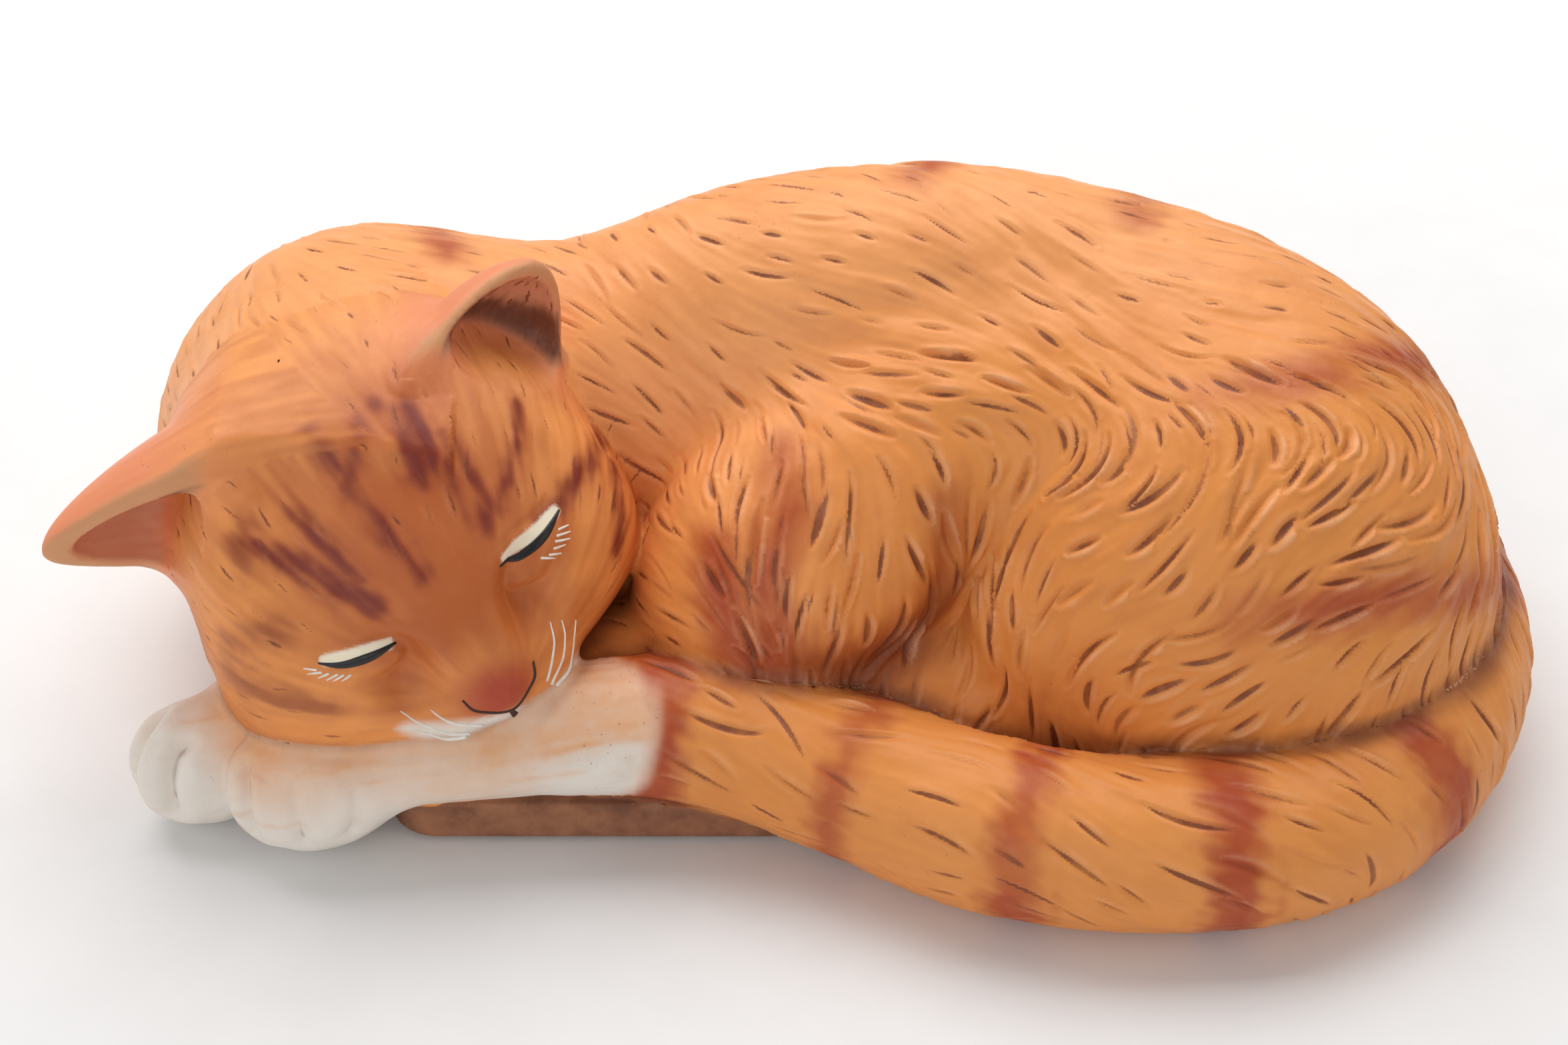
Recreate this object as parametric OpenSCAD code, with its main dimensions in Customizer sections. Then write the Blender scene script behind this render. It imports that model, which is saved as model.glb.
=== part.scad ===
// A sleeping cat, curled up with its head on its forelegs and its tail round the front.
// It is slip-cast ware: thin hollow castings, joined with slip before firing, on a low hollow base.
// The frame has +X from the head's end to the rump, +Z up, and the origin under the middle of the object.

/* [Casting] */
// Wall thickness of the hollow castings
wall = 4.5; // [3:0.5:6]
// Slip joint between neighbouring castings
joint_gap = 0.3; // [0.2:0.1:0.6]
// Facets round the body; the smaller castings follow it
body_spokes = 48; // [24:4:56]

/* [Body] */
// Half length, half depth and half height of the trunk
trunk_radii = [118, 50, 80]; // [40:1:130]
// Half length, half depth and half height of the shoulders behind the head
shoulder_radii = [58, 56, 62]; // [40:1:70]
// Half length, half depth and half height of the rump
rump_radii = [70, 61, 73]; // [40:1:80]
// Half length, half depth and half height of the haunch in front of the rump
haunch_radii = [66, 54, 68]; // [40:1:80]
// Half length, half depth and half height of the bulge between the knee and the haunch
hock_radii = [22, 20, 24]; // [14:1:30]
// Half length, half depth and half height of the belly between the legs
belly_radii = [95, 34, 34]; // [30:1:100]
// Radius of the bent knee
knee_radius = 37; // [30:0.5:40]

/* [Head] */
// Half width, half length and half thickness of the skull
skull_radii = [52, 48, 42]; // [36:1:56]
// Radius of each round whisker pad
muzzle_radius = 12; // [8:0.5:15]
// Half width of an ear at its root
ear_half_width = 19; // [14:0.5:22]
// Thickness of an ear's shell
ear_thickness = 4; // [3:0.5:6]

/* [Limbs] */
// Radius of the tail where it lies on the table
tail_radius = 21; // [17:0.5:23]
// Radius of a foreleg
foreleg_radius = 15.5; // [13:0.5:17]

/* [Base] */
// Height of the hollow base above the felt pads
base_height = 12; // [8:0.5:13]
// Diameter of the vent hole under the base
vent_diameter = 12; // [8:0.5:20]
// Thickness of the felt pads
pad_height = 1.2; // [0.8:0.1:2]
// Diameter of the felt pads
pad_diameter = 22; // [12:1:26]

/* [Hidden] */

base_top = pad_height + base_height;
body_centre = [27, 18, base_top + joint_gap];
head_centre = [-102, -16, 66];

// The head's own axes: across the face, down the face to the nose, and out of the face.
head_across = unit([0.84, 0.46, 0.29]);
head_down = unit(square_to([0.47, -0.62, -0.60], head_across));
head_out = -cross(head_across, head_down);

// Middle line of each limb: x, y, z and radius at each station.
tail_line = [
    [128, 54, 32, 24], [142, 31, 30, 29], [153, 2, 27, 27], [153, -28, 24, 24],
    [142, -49, tail_radius + 1, tail_radius + 1], [125, -65, tail_radius, tail_radius],
    [104, -75, tail_radius, tail_radius], [67, -76, tail_radius, tail_radius],
    [37, -68, tail_radius, tail_radius], [10, -56, 23, 20], [-16, -47, 27, 19],
    [-34, -44, 30, 17], [-45, -44, 31, 13]
];
foreleg_outer_line = [
    [-48, -46, 29, foreleg_radius], [-76, -49, 29, foreleg_radius], [-103, -53, 25, foreleg_radius],
    [-124, -55, 19.5, foreleg_radius + 2], [-136, -57, 18, 12]
];
foreleg_inner_line = [
    [-92, -20, 28, 15], [-113, -30, 26, 16], [-133, -38, 21, foreleg_radius],
    [-151, -44, 17.5, foreleg_radius], [-163, -47, 16, 9]
];
knee_line = [
    [82, 20, 76, knee_radius - 5], [34, 14, 72, knee_radius - 2], [-4, -6, 50, knee_radius + 1],
    [-10, -10, 30, knee_radius - 1]
];

// An ear: the middle of its root, its tip, and the way its hollow side faces.
ear_left_place = [[-79, 0, 99], [-71, 17, 125], [0.55, -0.8, 0.2]];
ear_right_place = [[-143, -28, 84], [-180, -32, 73], [0.05, -0.8, -0.5]];

ear_root_depth = 14;

pad_places = [[-64, -30], [-98, 50], [96, 56], [88, -30]];

// ---- Vectors ----
function vec(v) = [v.x, v.y, v.z];
function unit(v) = v / norm(v);
function square_to(v, axis) = v - axis * (v * axis);
function clamp01(x) = min(1, max(0, x));

// ---- Distance fields: negative inside, about the distance in millimetres outside ----
function blend(a, b, k) = let (h = clamp01(0.5 + 0.5 * (b - a) / k)) b + (a - b) * h - k * h * (1 - h);
function egg(p, centre, r) =
    let (
        q = p - centre,
        near = norm([q.x / r.x, q.y / r.y, q.z / r.z]),
        slope = norm([q.x / r.x ^ 2, q.y / r.y ^ 2, q.z / r.z ^ 2])
    )
    near * (near - 1) / max(slope, 0.0001);
function link(p, a, b) =
    let (
        start = vec(a),
        along = vec(b) - start,
        t = clamp01((p - start) * along / (along * along))
    )
    norm(p - start - along * t) - (a[3] + (b[3] - a[3]) * t);
function limb(p, line) = min([for (i = [0 : len(line) - 2]) link(p, line[i], line[i + 1])]);
function head_place(p) = let (q = p - head_centre) [q * head_across, q * head_down, q * head_out];

trunk_field = function (p)
    let (
        back = blend(egg(p, [24, 46, 47], trunk_radii), egg(p, [-112, 35, 50], shoulder_radii), 34),
        rear = blend(back, egg(p, [99, 21, 43], rump_radii), 24),
        sides = blend(rear, egg(p, [104, -10, 40], haunch_radii), 14),
        hock = blend(sides, egg(p, [58, -25, 44], hock_radii), 6),
        low = blend(hock, egg(p, [7, -18, 12], belly_radii), 8)
    )
    blend(low, limb(p, knee_line), 6);
tail_field = function (p) limb(p, tail_line);
tail_root_field = function (p)
    let (start = vec(tail_line[0]), along = unit(vec(tail_line[1]) - start))
    max(tail_field(p), (start - p) * along);
outer_leg_field = function (p) limb(p, foreleg_outer_line);
inner_leg_field = function (p)
    max(limb(p, foreleg_inner_line), joint_gap - outer_leg_field(p));
limbs_field = function (p)
    min(tail_root_field(p), limb(p, foreleg_outer_line), limb(p, foreleg_inner_line));
body_rest_field = function (p) limbs_field(p) - 3 * joint_gap;

skull_field = function (p)
    let (
        q = head_place(p),
        m = [abs(q.x), q.y, q.z],
        skull = blend(egg(q, [0, -4, 0], skull_radii), egg(q, [0, 22, 4], [38, 28, 30]), 14),
        cheeks = blend(skull, egg(m, [30, 16, -6], [24, 26, 26]), 12),
        pads = blend(cheeks, egg(m, [9, 40, -2], [1, 1, 1] * muzzle_radius), 8)
    )
    blend(pads, egg(q, [0, 34, 8], [11, 20, 13]), 8);
head_rest_field = function (p) min(trunk_field(p), limbs_field(p)) - joint_gap;
shelf_field = function (p)
    let (q = [max(-94 - p.x, p.x - 100, 0), max(-44 - p.y, p.y - 50, 0)]) norm(q) - 12;
base_field = function (p)
    let (at = [p.x, p.y, base_top])
    max(min(trunk_field(at), shelf_field(at)), joint_gap - limbs_field(at));

// ---- Surfaces: rings of points, each found by walking out from a centre until the field is zero ----
function walk(field, from, way, r = 0, left = 60) =
    let (d = field(from + way * r))
    left == 0 || abs(d) < 0.05 ? r : walk(field, from, way, r - 0.7 * d, left - 1);
function spoke_way(axis, side, a, polar) =
    axis * cos(polar) + (side * cos(a) + cross(axis, side) * sin(a)) * sin(polar);
function cone_ring(field, centre, axis, side, polar, inset) =
    [
        for (j = [0 : len(polar) - 1])
            let (way = spoke_way(axis, side, 360 * j / len(polar), polar[j]))
            centre + way * max(walk(field, centre, way) - inset, 1)
    ];
// Polar angle at which the surface of the field reaches another body, for one spoke.
function meeting(field, rest, centre, axis, side, a, polar, limit, step = 4) =
    polar > limit
        ? limit
        : let (way = spoke_way(axis, side, a, polar))
            rest(centre + way * walk(field, centre, way)) > 0
                ? meeting(field, rest, centre, axis, side, a, polar + step, limit, step)
                : step < 0.1
                    ? polar - step
                    : meeting(field, rest, centre, axis, side, a, polar - step * 0.75, limit, step / 4);
function line_ring(field, at, along, spokes, inset) =
    let (side = unit(cross(along, [0, 0, 1])), up = cross(side, along))
    [
        for (j = [0 : spokes - 1])
            let (a = 360 * j / spokes, way = side * cos(a) + up * sin(a))
            at + way * max(walk(field, at, way) - inset, 1)
    ];

// Closed surface through a list of rings, with a fan over each end.
module skin(rings) {
    n = len(rings[0]);
    last = len(rings) - 1;
    points = concat([for (ring = rings) each ring], [mean(rings[0]), mean(rings[last])]);
    sides = [
        for (i = [0 : last - 1], j = [0 : n - 1])
            let (a = i * n + j, b = i * n + (j + 1) % n)
            each [[a, b, a + n], [b, b + n, a + n]]
    ];
    ends = [
        for (j = [0 : n - 1])
            let (k = (j + 1) % n)
            each [[k, j, (last + 1) * n], [last * n + j, last * n + k, (last + 1) * n + 1]]
    ];
    polyhedron(points, concat(sides, ends), convexity = 10);
}
function mean(list) = [for (i = [0 : 2]) sum([for (p = list) p[i]]) / len(list)];
function sum(list, i = 0) = i == len(list) ? 0 : list[i] + sum(list, i + 1);
function reversed(list) = [for (i = [len(list) - 1 : -1 : 0]) list[i]];

// Hollow casting round a centre, open at its own polar angle from the axis on each spoke.
module shell(field, centre, axis, side, open, rings) {
    function polar(i) = [for (o = open) 3 + (o - 3) * i / rings];
    function at(i, inset) = cone_ring(field, centre, axis, side, polar(i), inset);
    skin(concat([for (i = [0 : rings]) at(i, 0)], [for (i = [rings : -1 : 0]) at(i, wall)]));
}

// Hollow casting along a line of stations, closed at the end of the line and open at its start.
function stations(line, steps) =
    [
        for (i = [0 : len(line) - 2], s = [0 : steps - 1])
            let (t = s / steps) line[i] * (1 - t) + line[i + 1] * t
    ];
module tube(field, line, steps, spokes) {
    path = concat(stations(line, steps), [line[len(line) - 1]]);
    last = len(path) - 1;
    function spot(i) = vec(path[i]);
    function along(i) = unit(spot(min(i + 1, last)) - spot(max(i - 1, 0)));
    function ring(i, inset) = line_ring(field, spot(i), along(i), spokes, inset);
    skin(concat(
        [for (i = [last : -1 : 0]) ring(i, 0)],
        [for (i = [0 : last - 1]) ring(i, wall)]
    ));
}

// ---- Pieces ----
module base() {
    ring = cone_ring(base_field, body_centre, [0, 0, 1], [1, 0, 0], [for (j = [1 : 72]) 90], 0);
    outline = [for (at = ring) [at.x, at.y]];
    color("sienna") difference() {
        translate([0, 0, pad_height]) linear_extrude(base_height) polygon(outline);
        translate([0, 0, pad_height + wall])
            linear_extrude(base_height) offset(delta = -wall) polygon(outline);
        translate([0, 0, pad_height - 1]) cylinder(d = vent_diameter, h = wall + 2, $fn = 48);
    }
}
module body() {
    open = [
        for (j = [0 : body_spokes - 1])
            meeting(
                trunk_field, body_rest_field, body_centre, [0, 0, 1], [1, 0, 0],
                360 * j / body_spokes, 40, 90
            )
    ];
    color("peru") shell(trunk_field, body_centre, [0, 0, 1], [1, 0, 0], open, 18);
}
module head() {
    spokes = round(body_spokes * 0.8);
    centre = head_centre + head_down * 4 + head_out * 6;
    open = [
        for (j = [0 : spokes - 1])
            meeting(
                skull_field, head_rest_field, centre, head_out, head_across,
                360 * j / spokes, 50, 170
            )
    ];
    color("peru") shell(skull_field, centre, head_out, head_across, open, 18);
}
module ear(place) {
    rows = 9;
    spokes = 10;
    up = unit(place[1] - place[0]);
    height = norm(place[1] - place[0]);
    out = unit(square_to(place[2], up));
    side = cross(up, out);
    function outline(t) = ear_half_width * sqrt(1 - t ^ 2.4) * (1 - 0.15 * t);
    function section(t) =
        let (
            half = max(outline(t), 1.2),
            depth = 9 * (1 - 0.4 * t),
            hollow = (depth - ear_thickness) * min(t * 6, 1)
        )
        concat(
            [for (j = [0 : spokes]) let (a = 180 * j / spokes) [half * cos(a), -depth * sin(a)]],
            [
                for (j = [spokes - 1 : -1 : 1])
                    let (a = 180 * j / spokes)
                    [(half - 2) * cos(a), (t < 0.1 ? 4 : -hollow) * sin(a)]
            ]
        );
    // The root follows the skull: height of its surface under each point of the section
    deep = place[0] - up * ear_root_depth;
    feet = [
        for (q = section(0))
            let (
                from = deep + side * q.x + out * q.y,
                rise = skull_field(from) > 0 ? 0 : walk(skull_field, from, up)
            )
            rise - ear_root_depth + joint_gap
    ];
    function row(t) =
        let (points = section(t))
        [
            for (k = [0 : len(points) - 1])
                place[0] + side * points[k].x + out * points[k].y + up * (feet[k] * (1 - t) + height * t)
        ];
    color("indianred") skin([for (i = [0 : rows]) row(0.97 * i / rows)]);
}
module ear_left() ear(ear_left_place);
module ear_right() ear(ear_right_place);
module foreleg_outer() color("white") tube(outer_leg_field, foreleg_outer_line, 3, 16);
module foreleg_inner() color("white") tube(inner_leg_field, foreleg_inner_line, 3, 16);
module tail() color("peru") tube(tail_field, tail_line, 2, 18);
module felt_pads() color("olivedrab")
    for (at = pad_places) translate([at.x, at.y, 0]) cylinder(d = pad_diameter, h = pad_height, $fn = 48);

base();
body();
head();
ear_left();
ear_right();
foreleg_outer();
foreleg_inner();
tail();
felt_pads();
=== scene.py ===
import bpy
import numpy as np
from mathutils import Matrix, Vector
from mathutils.kdtree import KDTree


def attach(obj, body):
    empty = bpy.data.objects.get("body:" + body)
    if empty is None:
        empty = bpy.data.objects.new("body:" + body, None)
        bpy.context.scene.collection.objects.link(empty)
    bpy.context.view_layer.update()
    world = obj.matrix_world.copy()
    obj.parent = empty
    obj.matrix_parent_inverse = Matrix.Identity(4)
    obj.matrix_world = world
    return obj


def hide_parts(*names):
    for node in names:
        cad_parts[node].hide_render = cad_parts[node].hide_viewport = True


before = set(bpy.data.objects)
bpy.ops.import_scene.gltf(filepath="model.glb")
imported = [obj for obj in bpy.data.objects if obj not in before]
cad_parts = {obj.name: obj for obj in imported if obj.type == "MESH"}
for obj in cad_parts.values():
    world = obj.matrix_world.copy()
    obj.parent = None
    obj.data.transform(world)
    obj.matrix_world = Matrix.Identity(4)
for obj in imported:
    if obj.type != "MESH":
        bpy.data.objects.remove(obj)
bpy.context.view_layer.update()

# A sleeping tabby cat in painted bisque. Forms are worked out in millimetres, in the frame of the
# CAD model: +X from head to rump, +Y towards the cat's back, +Z up. Meshes are made in metres.
MM = 0.001

# ---------------------------------------------------------------- sizes, in millimetres
PITCH = 1.5        # spacing of the grid that the forms are sampled on
UNDERSIDE = 1.2                      # the ceramic stands this high on its felt pads
SEAM = 13.35                         # height of the joint between base and body
VENT_RADIUS = 6.0
VENT_DEPTH = 5.7
PADS = [(-64, -30), (-98, 50), (96, 56), (88, -30)]
PAD_RADIUS = 11.0
EDGE_ROUND = 2.5
FAR = 80.0

rng = np.random.default_rng(11)


def unit(v):
    v = np.asarray(v, float)
    return v / np.maximum(np.linalg.norm(v, axis=-1, keepdims=True), 1e-9)


def step_up(x, start, end):
    t = np.clip((x - start) / (end - start), 0, 1)
    return t * t * (3 - 2 * t)


# ---------------------------------------------------------------- the head's own axes
# x runs to the cat's left, y to the nose and z out of the forehead.
HEAD_AT = np.array([-102.0, -16.0, 66.0])
HEAD_X = unit((0.84, 0.46, 0.29))
HEAD_Y = np.array([0.47, -0.62, -0.60])
HEAD_Y = unit(HEAD_Y - HEAD_X * (HEAD_Y @ HEAD_X))
HEAD_Z = np.cross(HEAD_Y, HEAD_X)
HEAD = np.stack([HEAD_X, HEAD_Y, HEAD_Z])
LID_AXES = unit([(0.95, -0.26, -0.25), (0.2, 0.9, -0.35), (0.3, 0.3, 0.9)])


def to_head(p):
    return (p - HEAD_AT) @ HEAD.T


def from_head(q):
    return HEAD_AT + np.asarray(q, float) @ HEAD


# ---------------------------------------------------------------- shapes as distance fields
def soft_min(a, b, k):
    h = np.clip(0.5 + 0.5 * (b - a) / k, 0, 1)
    return b + (a - b) * h - k * h * (1 - h)


def soft_max(a, b, k):
    return -soft_min(-a, -b, k)


def egg(p, centre, radii, axes=None):
    q = p - np.asarray(centre, float)
    if axes is not None:
        q = q @ axes.T
    radii = np.asarray(radii, float)
    near = np.linalg.norm(q / radii, axis=1)
    slope = np.linalg.norm(q / (radii * radii), axis=1)
    return near * (near - 1) / np.maximum(slope, 1e-9)


def limb(p, stations):
    """A round limb through stations of (x, y, z, radius)."""
    out = np.full(len(p), FAR * 2)
    for a, b in zip(stations[:-1], stations[1:]):
        run = b[:3] - a[:3]
        along = np.clip(((p - a[:3]) @ run) / (run @ run), 0, 1)
        gap = np.linalg.norm(p - a[:3] - along[:, None] * run, axis=1)
        out = np.minimum(out, gap - a[3] - (b[3] - a[3]) * along)
    return out


def curve(points, steps):
    """Catmull-Rom curve through the points, any number of values each."""
    pts = np.asarray(points, float)
    pts = np.vstack([2 * pts[0] - pts[1], pts, 2 * pts[-1] - pts[-2]])
    out = []
    for i in range(1, len(pts) - 2):
        a, b, c, d = pts[i - 1:i + 3]
        for t in np.linspace(0, 1, steps, endpoint=False):
            out.append(0.5 * (2 * b + (c - a) * t + (2 * a - 5 * b + 4 * c - d) * t ** 2
                              + (3 * b - a - 3 * c + d) * t ** 3))
    return np.array(out + [pts[-2]])


def within(low, high):
    """A field that is worked out only inside a box, and is far away everywhere else."""
    def wrap(field):
        def boxed(p, *more):
            out = np.full(len(p), FAR)
            inside = np.all((p > low) & (p < high), axis=1)
            if inside.any():
                out[inside] = field(p[inside], *more)
            return out
        return boxed
    return wrap


def eggs(p, group):
    """Eggs of (centre, radii, blend), each blended that softly into the ones before it."""
    d = egg(p, *group[0][:2])
    for centre, radii, blend in group[1:]:
        d = soft_min(d, egg(p, centre, radii), blend)
    return d


# The cranium, muzzle, cheek, bridge of the nose and whisker pad, in head axes, for the cat's left half.
SKULL_EGGS = [((0, -4, 0), (52, 48, 42), 0), ((0, 22, 4), (38, 28, 30), 14), ((31, 15, -6), (24, 24, 26), 12),
              ((0, 30, 14), (10, 21, 14), 7), ((9.5, 42, 3), (12, 11, 13), 5)]
EYE_HOLLOW = ((19, 36, 31), (9, 13, 9))
LID_EGG = ((24, 22, 25.5), (12, 7, 6))
NOSE_EGG = ((0, 43.5, 17.5), (9, 6.5, 6))


@within((-185, -100, -20), (-25, 65, 150))
def skull(p):
    q = to_head(p)
    q[:, 0] = np.abs(q[:, 0])
    d = soft_max(eggs(q, SKULL_EGGS), -egg(q, *EYE_HOLLOW), 6)
    d = soft_min(d, egg(q, *LID_EGG, LID_AXES), 1.5)
    return soft_min(d, egg(q, *NOSE_EGG), 2.5)


EAR_LEFT = dict(root=(-79, -3, 97), tip=(-67, 15, 126), opens=(0.7, -0.7, 0.1), wide=26, deep=23,
                taper=0.22, sink=1, low=0.15, wall=4.5)
EAR_RIGHT = dict(root=(-136, -28, 81), tip=(-185, -31, 73), opens=(0.09, -0.78, -0.28), wide=25,
                 deep=32, taper=0.42, sink=5, low=0.2, wall=8)


def ear_axes(ear):
    root = np.asarray(ear["root"], float)
    rise = np.asarray(ear["tip"], float) - root
    height = np.linalg.norm(rise)
    up = rise / height
    out = np.asarray(ear["opens"], float)
    out = unit(out - up * (up @ out))
    return root, np.stack([np.cross(up, out), out, up]), height


def ear_place(p, ear):
    """Across, towards the opening and up the ear, then the same without the ear's taper."""
    root, axes, height = ear_axes(ear)
    q = (p - root) @ axes.T
    u = np.clip(q[:, 2] / height, -0.5, 1.1)
    taper = 1 - ear["taper"] * np.clip(u, 0, 1)
    y = q[:, 1] + 4 * u * (1 - u) + ear["sink"] * (1 - step_up(u, -0.15, 0.35))
    return q[:, 0], y, np.stack([q[:, 0] / taper, y / taper, q[:, 2]], axis=1), height


def ear_hollow(straight, ear, height):
    """The inside of the ear, which closes towards the root."""
    low = ear["low"] * height
    wall = ear["wall"]
    return egg(straight, (0, 2, low), (ear["wide"] - wall, ear["deep"] - wall, height - wall - low))


def ear_cup(p, ear):
    x, y, straight, height = ear_place(p, ear)
    d = egg(straight, (0, 0, -4), (ear["wide"], ear["deep"], height + 4))
    d = soft_max(d, y - 2.0 + 0.006 * x ** 2, 2.5)
    return 0.75 * soft_max(d, -ear_hollow(straight, ear, height), 1.5)


ear_left = within((-130, -55, 60), (-25, 60, 150))(lambda p: ear_cup(p, EAR_LEFT))
ear_right = within((-210, -85, 30), (-85, 25, 130))(lambda p: ear_cup(p, EAR_RIGHT))

TAIL = curve([(128, 54, 32, 24), (142, 33, 30, 28), (154, 2, 27, 26.5), (153, -28, 24, 23.5),
              (142, -51, 21.5, 21.5), (125, -66, 21, 21), (104, -75, 21, 21), (67, -76, 21, 21),
              (37, -68, 21, 21), (10, -56, 23, 20), (-16, -47, 26, 19), (-40, -44, 29, 17),
              (-58, -46, 29, 14)], 4)
THIGH = curve([(82, 20, 76, 32), (34, 14, 72, 35), (-4, -6, 50, 38), (-10, -10, 30, 36)], 4)
FORELEG_OUTER = np.array([(-22, -44, 29, 15), (-58, -47, 31, 15.5), (-98, -52, 29.5, 14.5),
                          (-114, -54, 26, 15)], float)
FORELEG_INNER = np.array([(-88, -26, 30, 17), (-134, -37, 25.5, 16)], float)

OUTER_PAW = ((-124, -55, 20), (20, 15, 18))
INNER_PAW = ((-151, -44, 17), (18, 15, 16))
PAW_BLEND = 8

tail = within((-100, -125, -20), (205, 105, 90))(lambda p: limb(p, TAIL))
thigh = within((-75, -75, -40), (140, 80, 150))(lambda p: limb(p, THIGH))


@within((-170, -95, -20), (0, -5, 75))
def foreleg_outer(p):
    return soft_min(limb(p, FORELEG_OUTER), egg(p, *OUTER_PAW), PAW_BLEND)


@within((-195, -85, -20), (-50, 10, 70))
def foreleg_inner(p):
    return soft_min(limb(p, FORELEG_INNER), egg(p, *INNER_PAW), PAW_BLEND)


PLINTH_LOW, PLINTH_HIGH = (-94, -44), (100, 50)
PLINTH_CORNER = 12
PLINTH_TOP = 13.2


def plinth(p):
    past = [np.maximum(np.maximum(PLINTH_LOW[a] - p[:, a], p[:, a] - PLINTH_HIGH[a]), 0) for a in (0, 1)]
    return np.maximum(np.hypot(*past) - PLINTH_CORNER, p[:, 2] - PLINTH_TOP)


PARTS = ["base", "body", "head", "ear_left", "ear_right", "foreleg_outer", "foreleg_inner", "tail"]
BASE, BODY, SKULL, LEFT_EAR, RIGHT_EAR, OUTER_LEG, INNER_LEG, TAIL_PART = range(len(PARTS))
FURRY = [0.0, 1.0, 0.35, 0.15, 0.15, 0.25, 0.25, 0.7]     # how deep each part's combed fur is
LEGS = (OUTER_LEG, INNER_LEG)
EARS = ((LEFT_EAR, EAR_LEFT), (RIGHT_EAR, EAR_RIGHT))


# The barrel, shoulders, rump, haunch, bulge by the knee and belly.
TRUNK_EGGS = [((24, 46, 47), (118, 50, 80), 0), ((-112, 35, 50), (58, 56, 62), 34),
              ((99, 20, 42), (70, 59, 70.5), 24), ((104, -10, 40), (66, 54, 68), 14),
              ((58, -25, 44), (22, 20, 24), 6), ((7, -18, 12), (95, 34, 34), 8)]


def forms(p):
    """The distance to the whole cat, and to each of its PARTS."""
    z = p[:, 2]
    trunk = soft_min(eggs(p, TRUNK_EGGS), thigh(p), 4 + 6 * np.clip((z - 66) / 34, 0, 1))
    shelf, back_end, outer, inner = plinth(p), tail(p), foreleg_outer(p), foreleg_inner(p)
    face, left, right = skull(p), ear_left(p), ear_right(p)
    d = soft_min(trunk, shelf, 2)
    d = soft_min(d, back_end, 4)
    d = soft_min(d, np.minimum(outer, inner), 5)
    q = to_head(p)
    nape = step_up(-q[:, 1], 0, 30) * (1 - step_up(np.abs(q[:, 0]), 26, 48))
    d = soft_min(d, soft_min(face, np.minimum(left, right), 11), 4 + 26 * nape)
    d = soft_max(d, UNDERSIDE - z, EDGE_ROUND)
    vent = np.maximum(np.hypot(p[:, 0], p[:, 1]) - VENT_RADIUS, z - VENT_DEPTH)
    d = soft_max(d, -vent, 1)
    low = z < SEAM
    whole = np.minimum(trunk, shelf)
    base = np.where(low, whole, FAR)
    body = np.where(low, FAR, whole)
    return d, np.stack([base, body, face, left, right, outer, inner, back_end])


def settle(p, rounds=1, reach=1.5):
    """Moves points onto the cat's surface, and returns them with the outward normals there."""
    corners = np.array([(1, -1, -1), (-1, -1, 1), (-1, 1, -1), (1, 1, 1)], float)
    step = 0.25
    for _ in range(rounds):
        values = np.stack([forms(p + step * c)[0] for c in corners])
        slope = (values[:, :, None] * corners[:, None, :]).sum(axis=0) / (4 * step)
        size = np.maximum(np.linalg.norm(slope, axis=1, keepdims=True), 0.3)
        move = np.clip(values.mean(axis=0)[:, None] / size, -reach, reach)
        p = p - slope / size * move
    return p, unit(slope)


# ---------------------------------------------------------------- from fields to one shared mesh
COARSE = 4


def sample_grid():
    """Labels (0 outside, 1 + index in PARTS inside) and distances on a grid, fine only near surfaces."""
    low = np.array([-190.4, -105.4, SEAM - 0.5 * PITCH - 9 * PITCH])
    high = np.array([190.4, 105.4, 133.0])
    blocks = np.ceil((high - low) / (PITCH * COARSE)).astype(int)
    axes = [low[a] + PITCH * COARSE * np.arange(blocks[a] + 1) for a in range(3)]
    nodes = np.stack(np.meshgrid(*axes, indexing="ij"), axis=-1)
    d, parts = forms(nodes.reshape(-1, 3))
    ranked = np.sort(parts, axis=0)
    label = np.where(d > 0, 0, 1 + parts.argmin(axis=0)).reshape(nodes.shape[:3])
    reach = 1.5 * PITCH * COARSE
    close = (np.abs(d) < reach) | ((d < reach) & (ranked[1] - ranked[0] < reach))
    close = close.reshape(label.shape)

    corner_cuts = [tuple(slice(c, c - 1 if c == 0 else None) for c in corner)
                   for corner in np.ndindex(2, 2, 2)]
    busy = np.zeros(tuple(blocks), bool)
    for cut in corner_cuts:
        busy |= close[cut] | (label[cut] != label[corner_cuts[0]])
    for a in range(3):
        busy = np.repeat(busy, COARSE, axis=a)
    fine = np.zeros(tuple(n + 1 for n in busy.shape), bool)
    for cut in corner_cuts:
        fine[cut] |= busy

    nearest = [np.minimum((np.arange(n) + COARSE // 2) // COARSE, blocks[a])
               for a, n in enumerate(fine.shape)]
    labels = label[np.ix_(*nearest)].astype(np.int8)
    values = np.where(labels > 0, -FAR, FAR).astype(np.float64)
    index = np.argwhere(fine)
    for part in np.array_split(index, max(1, len(index) // 150000)):
        d, parts = forms(low + PITCH * part)
        where = tuple(part.T)
        values[where] = d
        labels[where] = np.where(d > 0, 0, 1 + parts.argmin(axis=0))
    return low, labels, values


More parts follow.
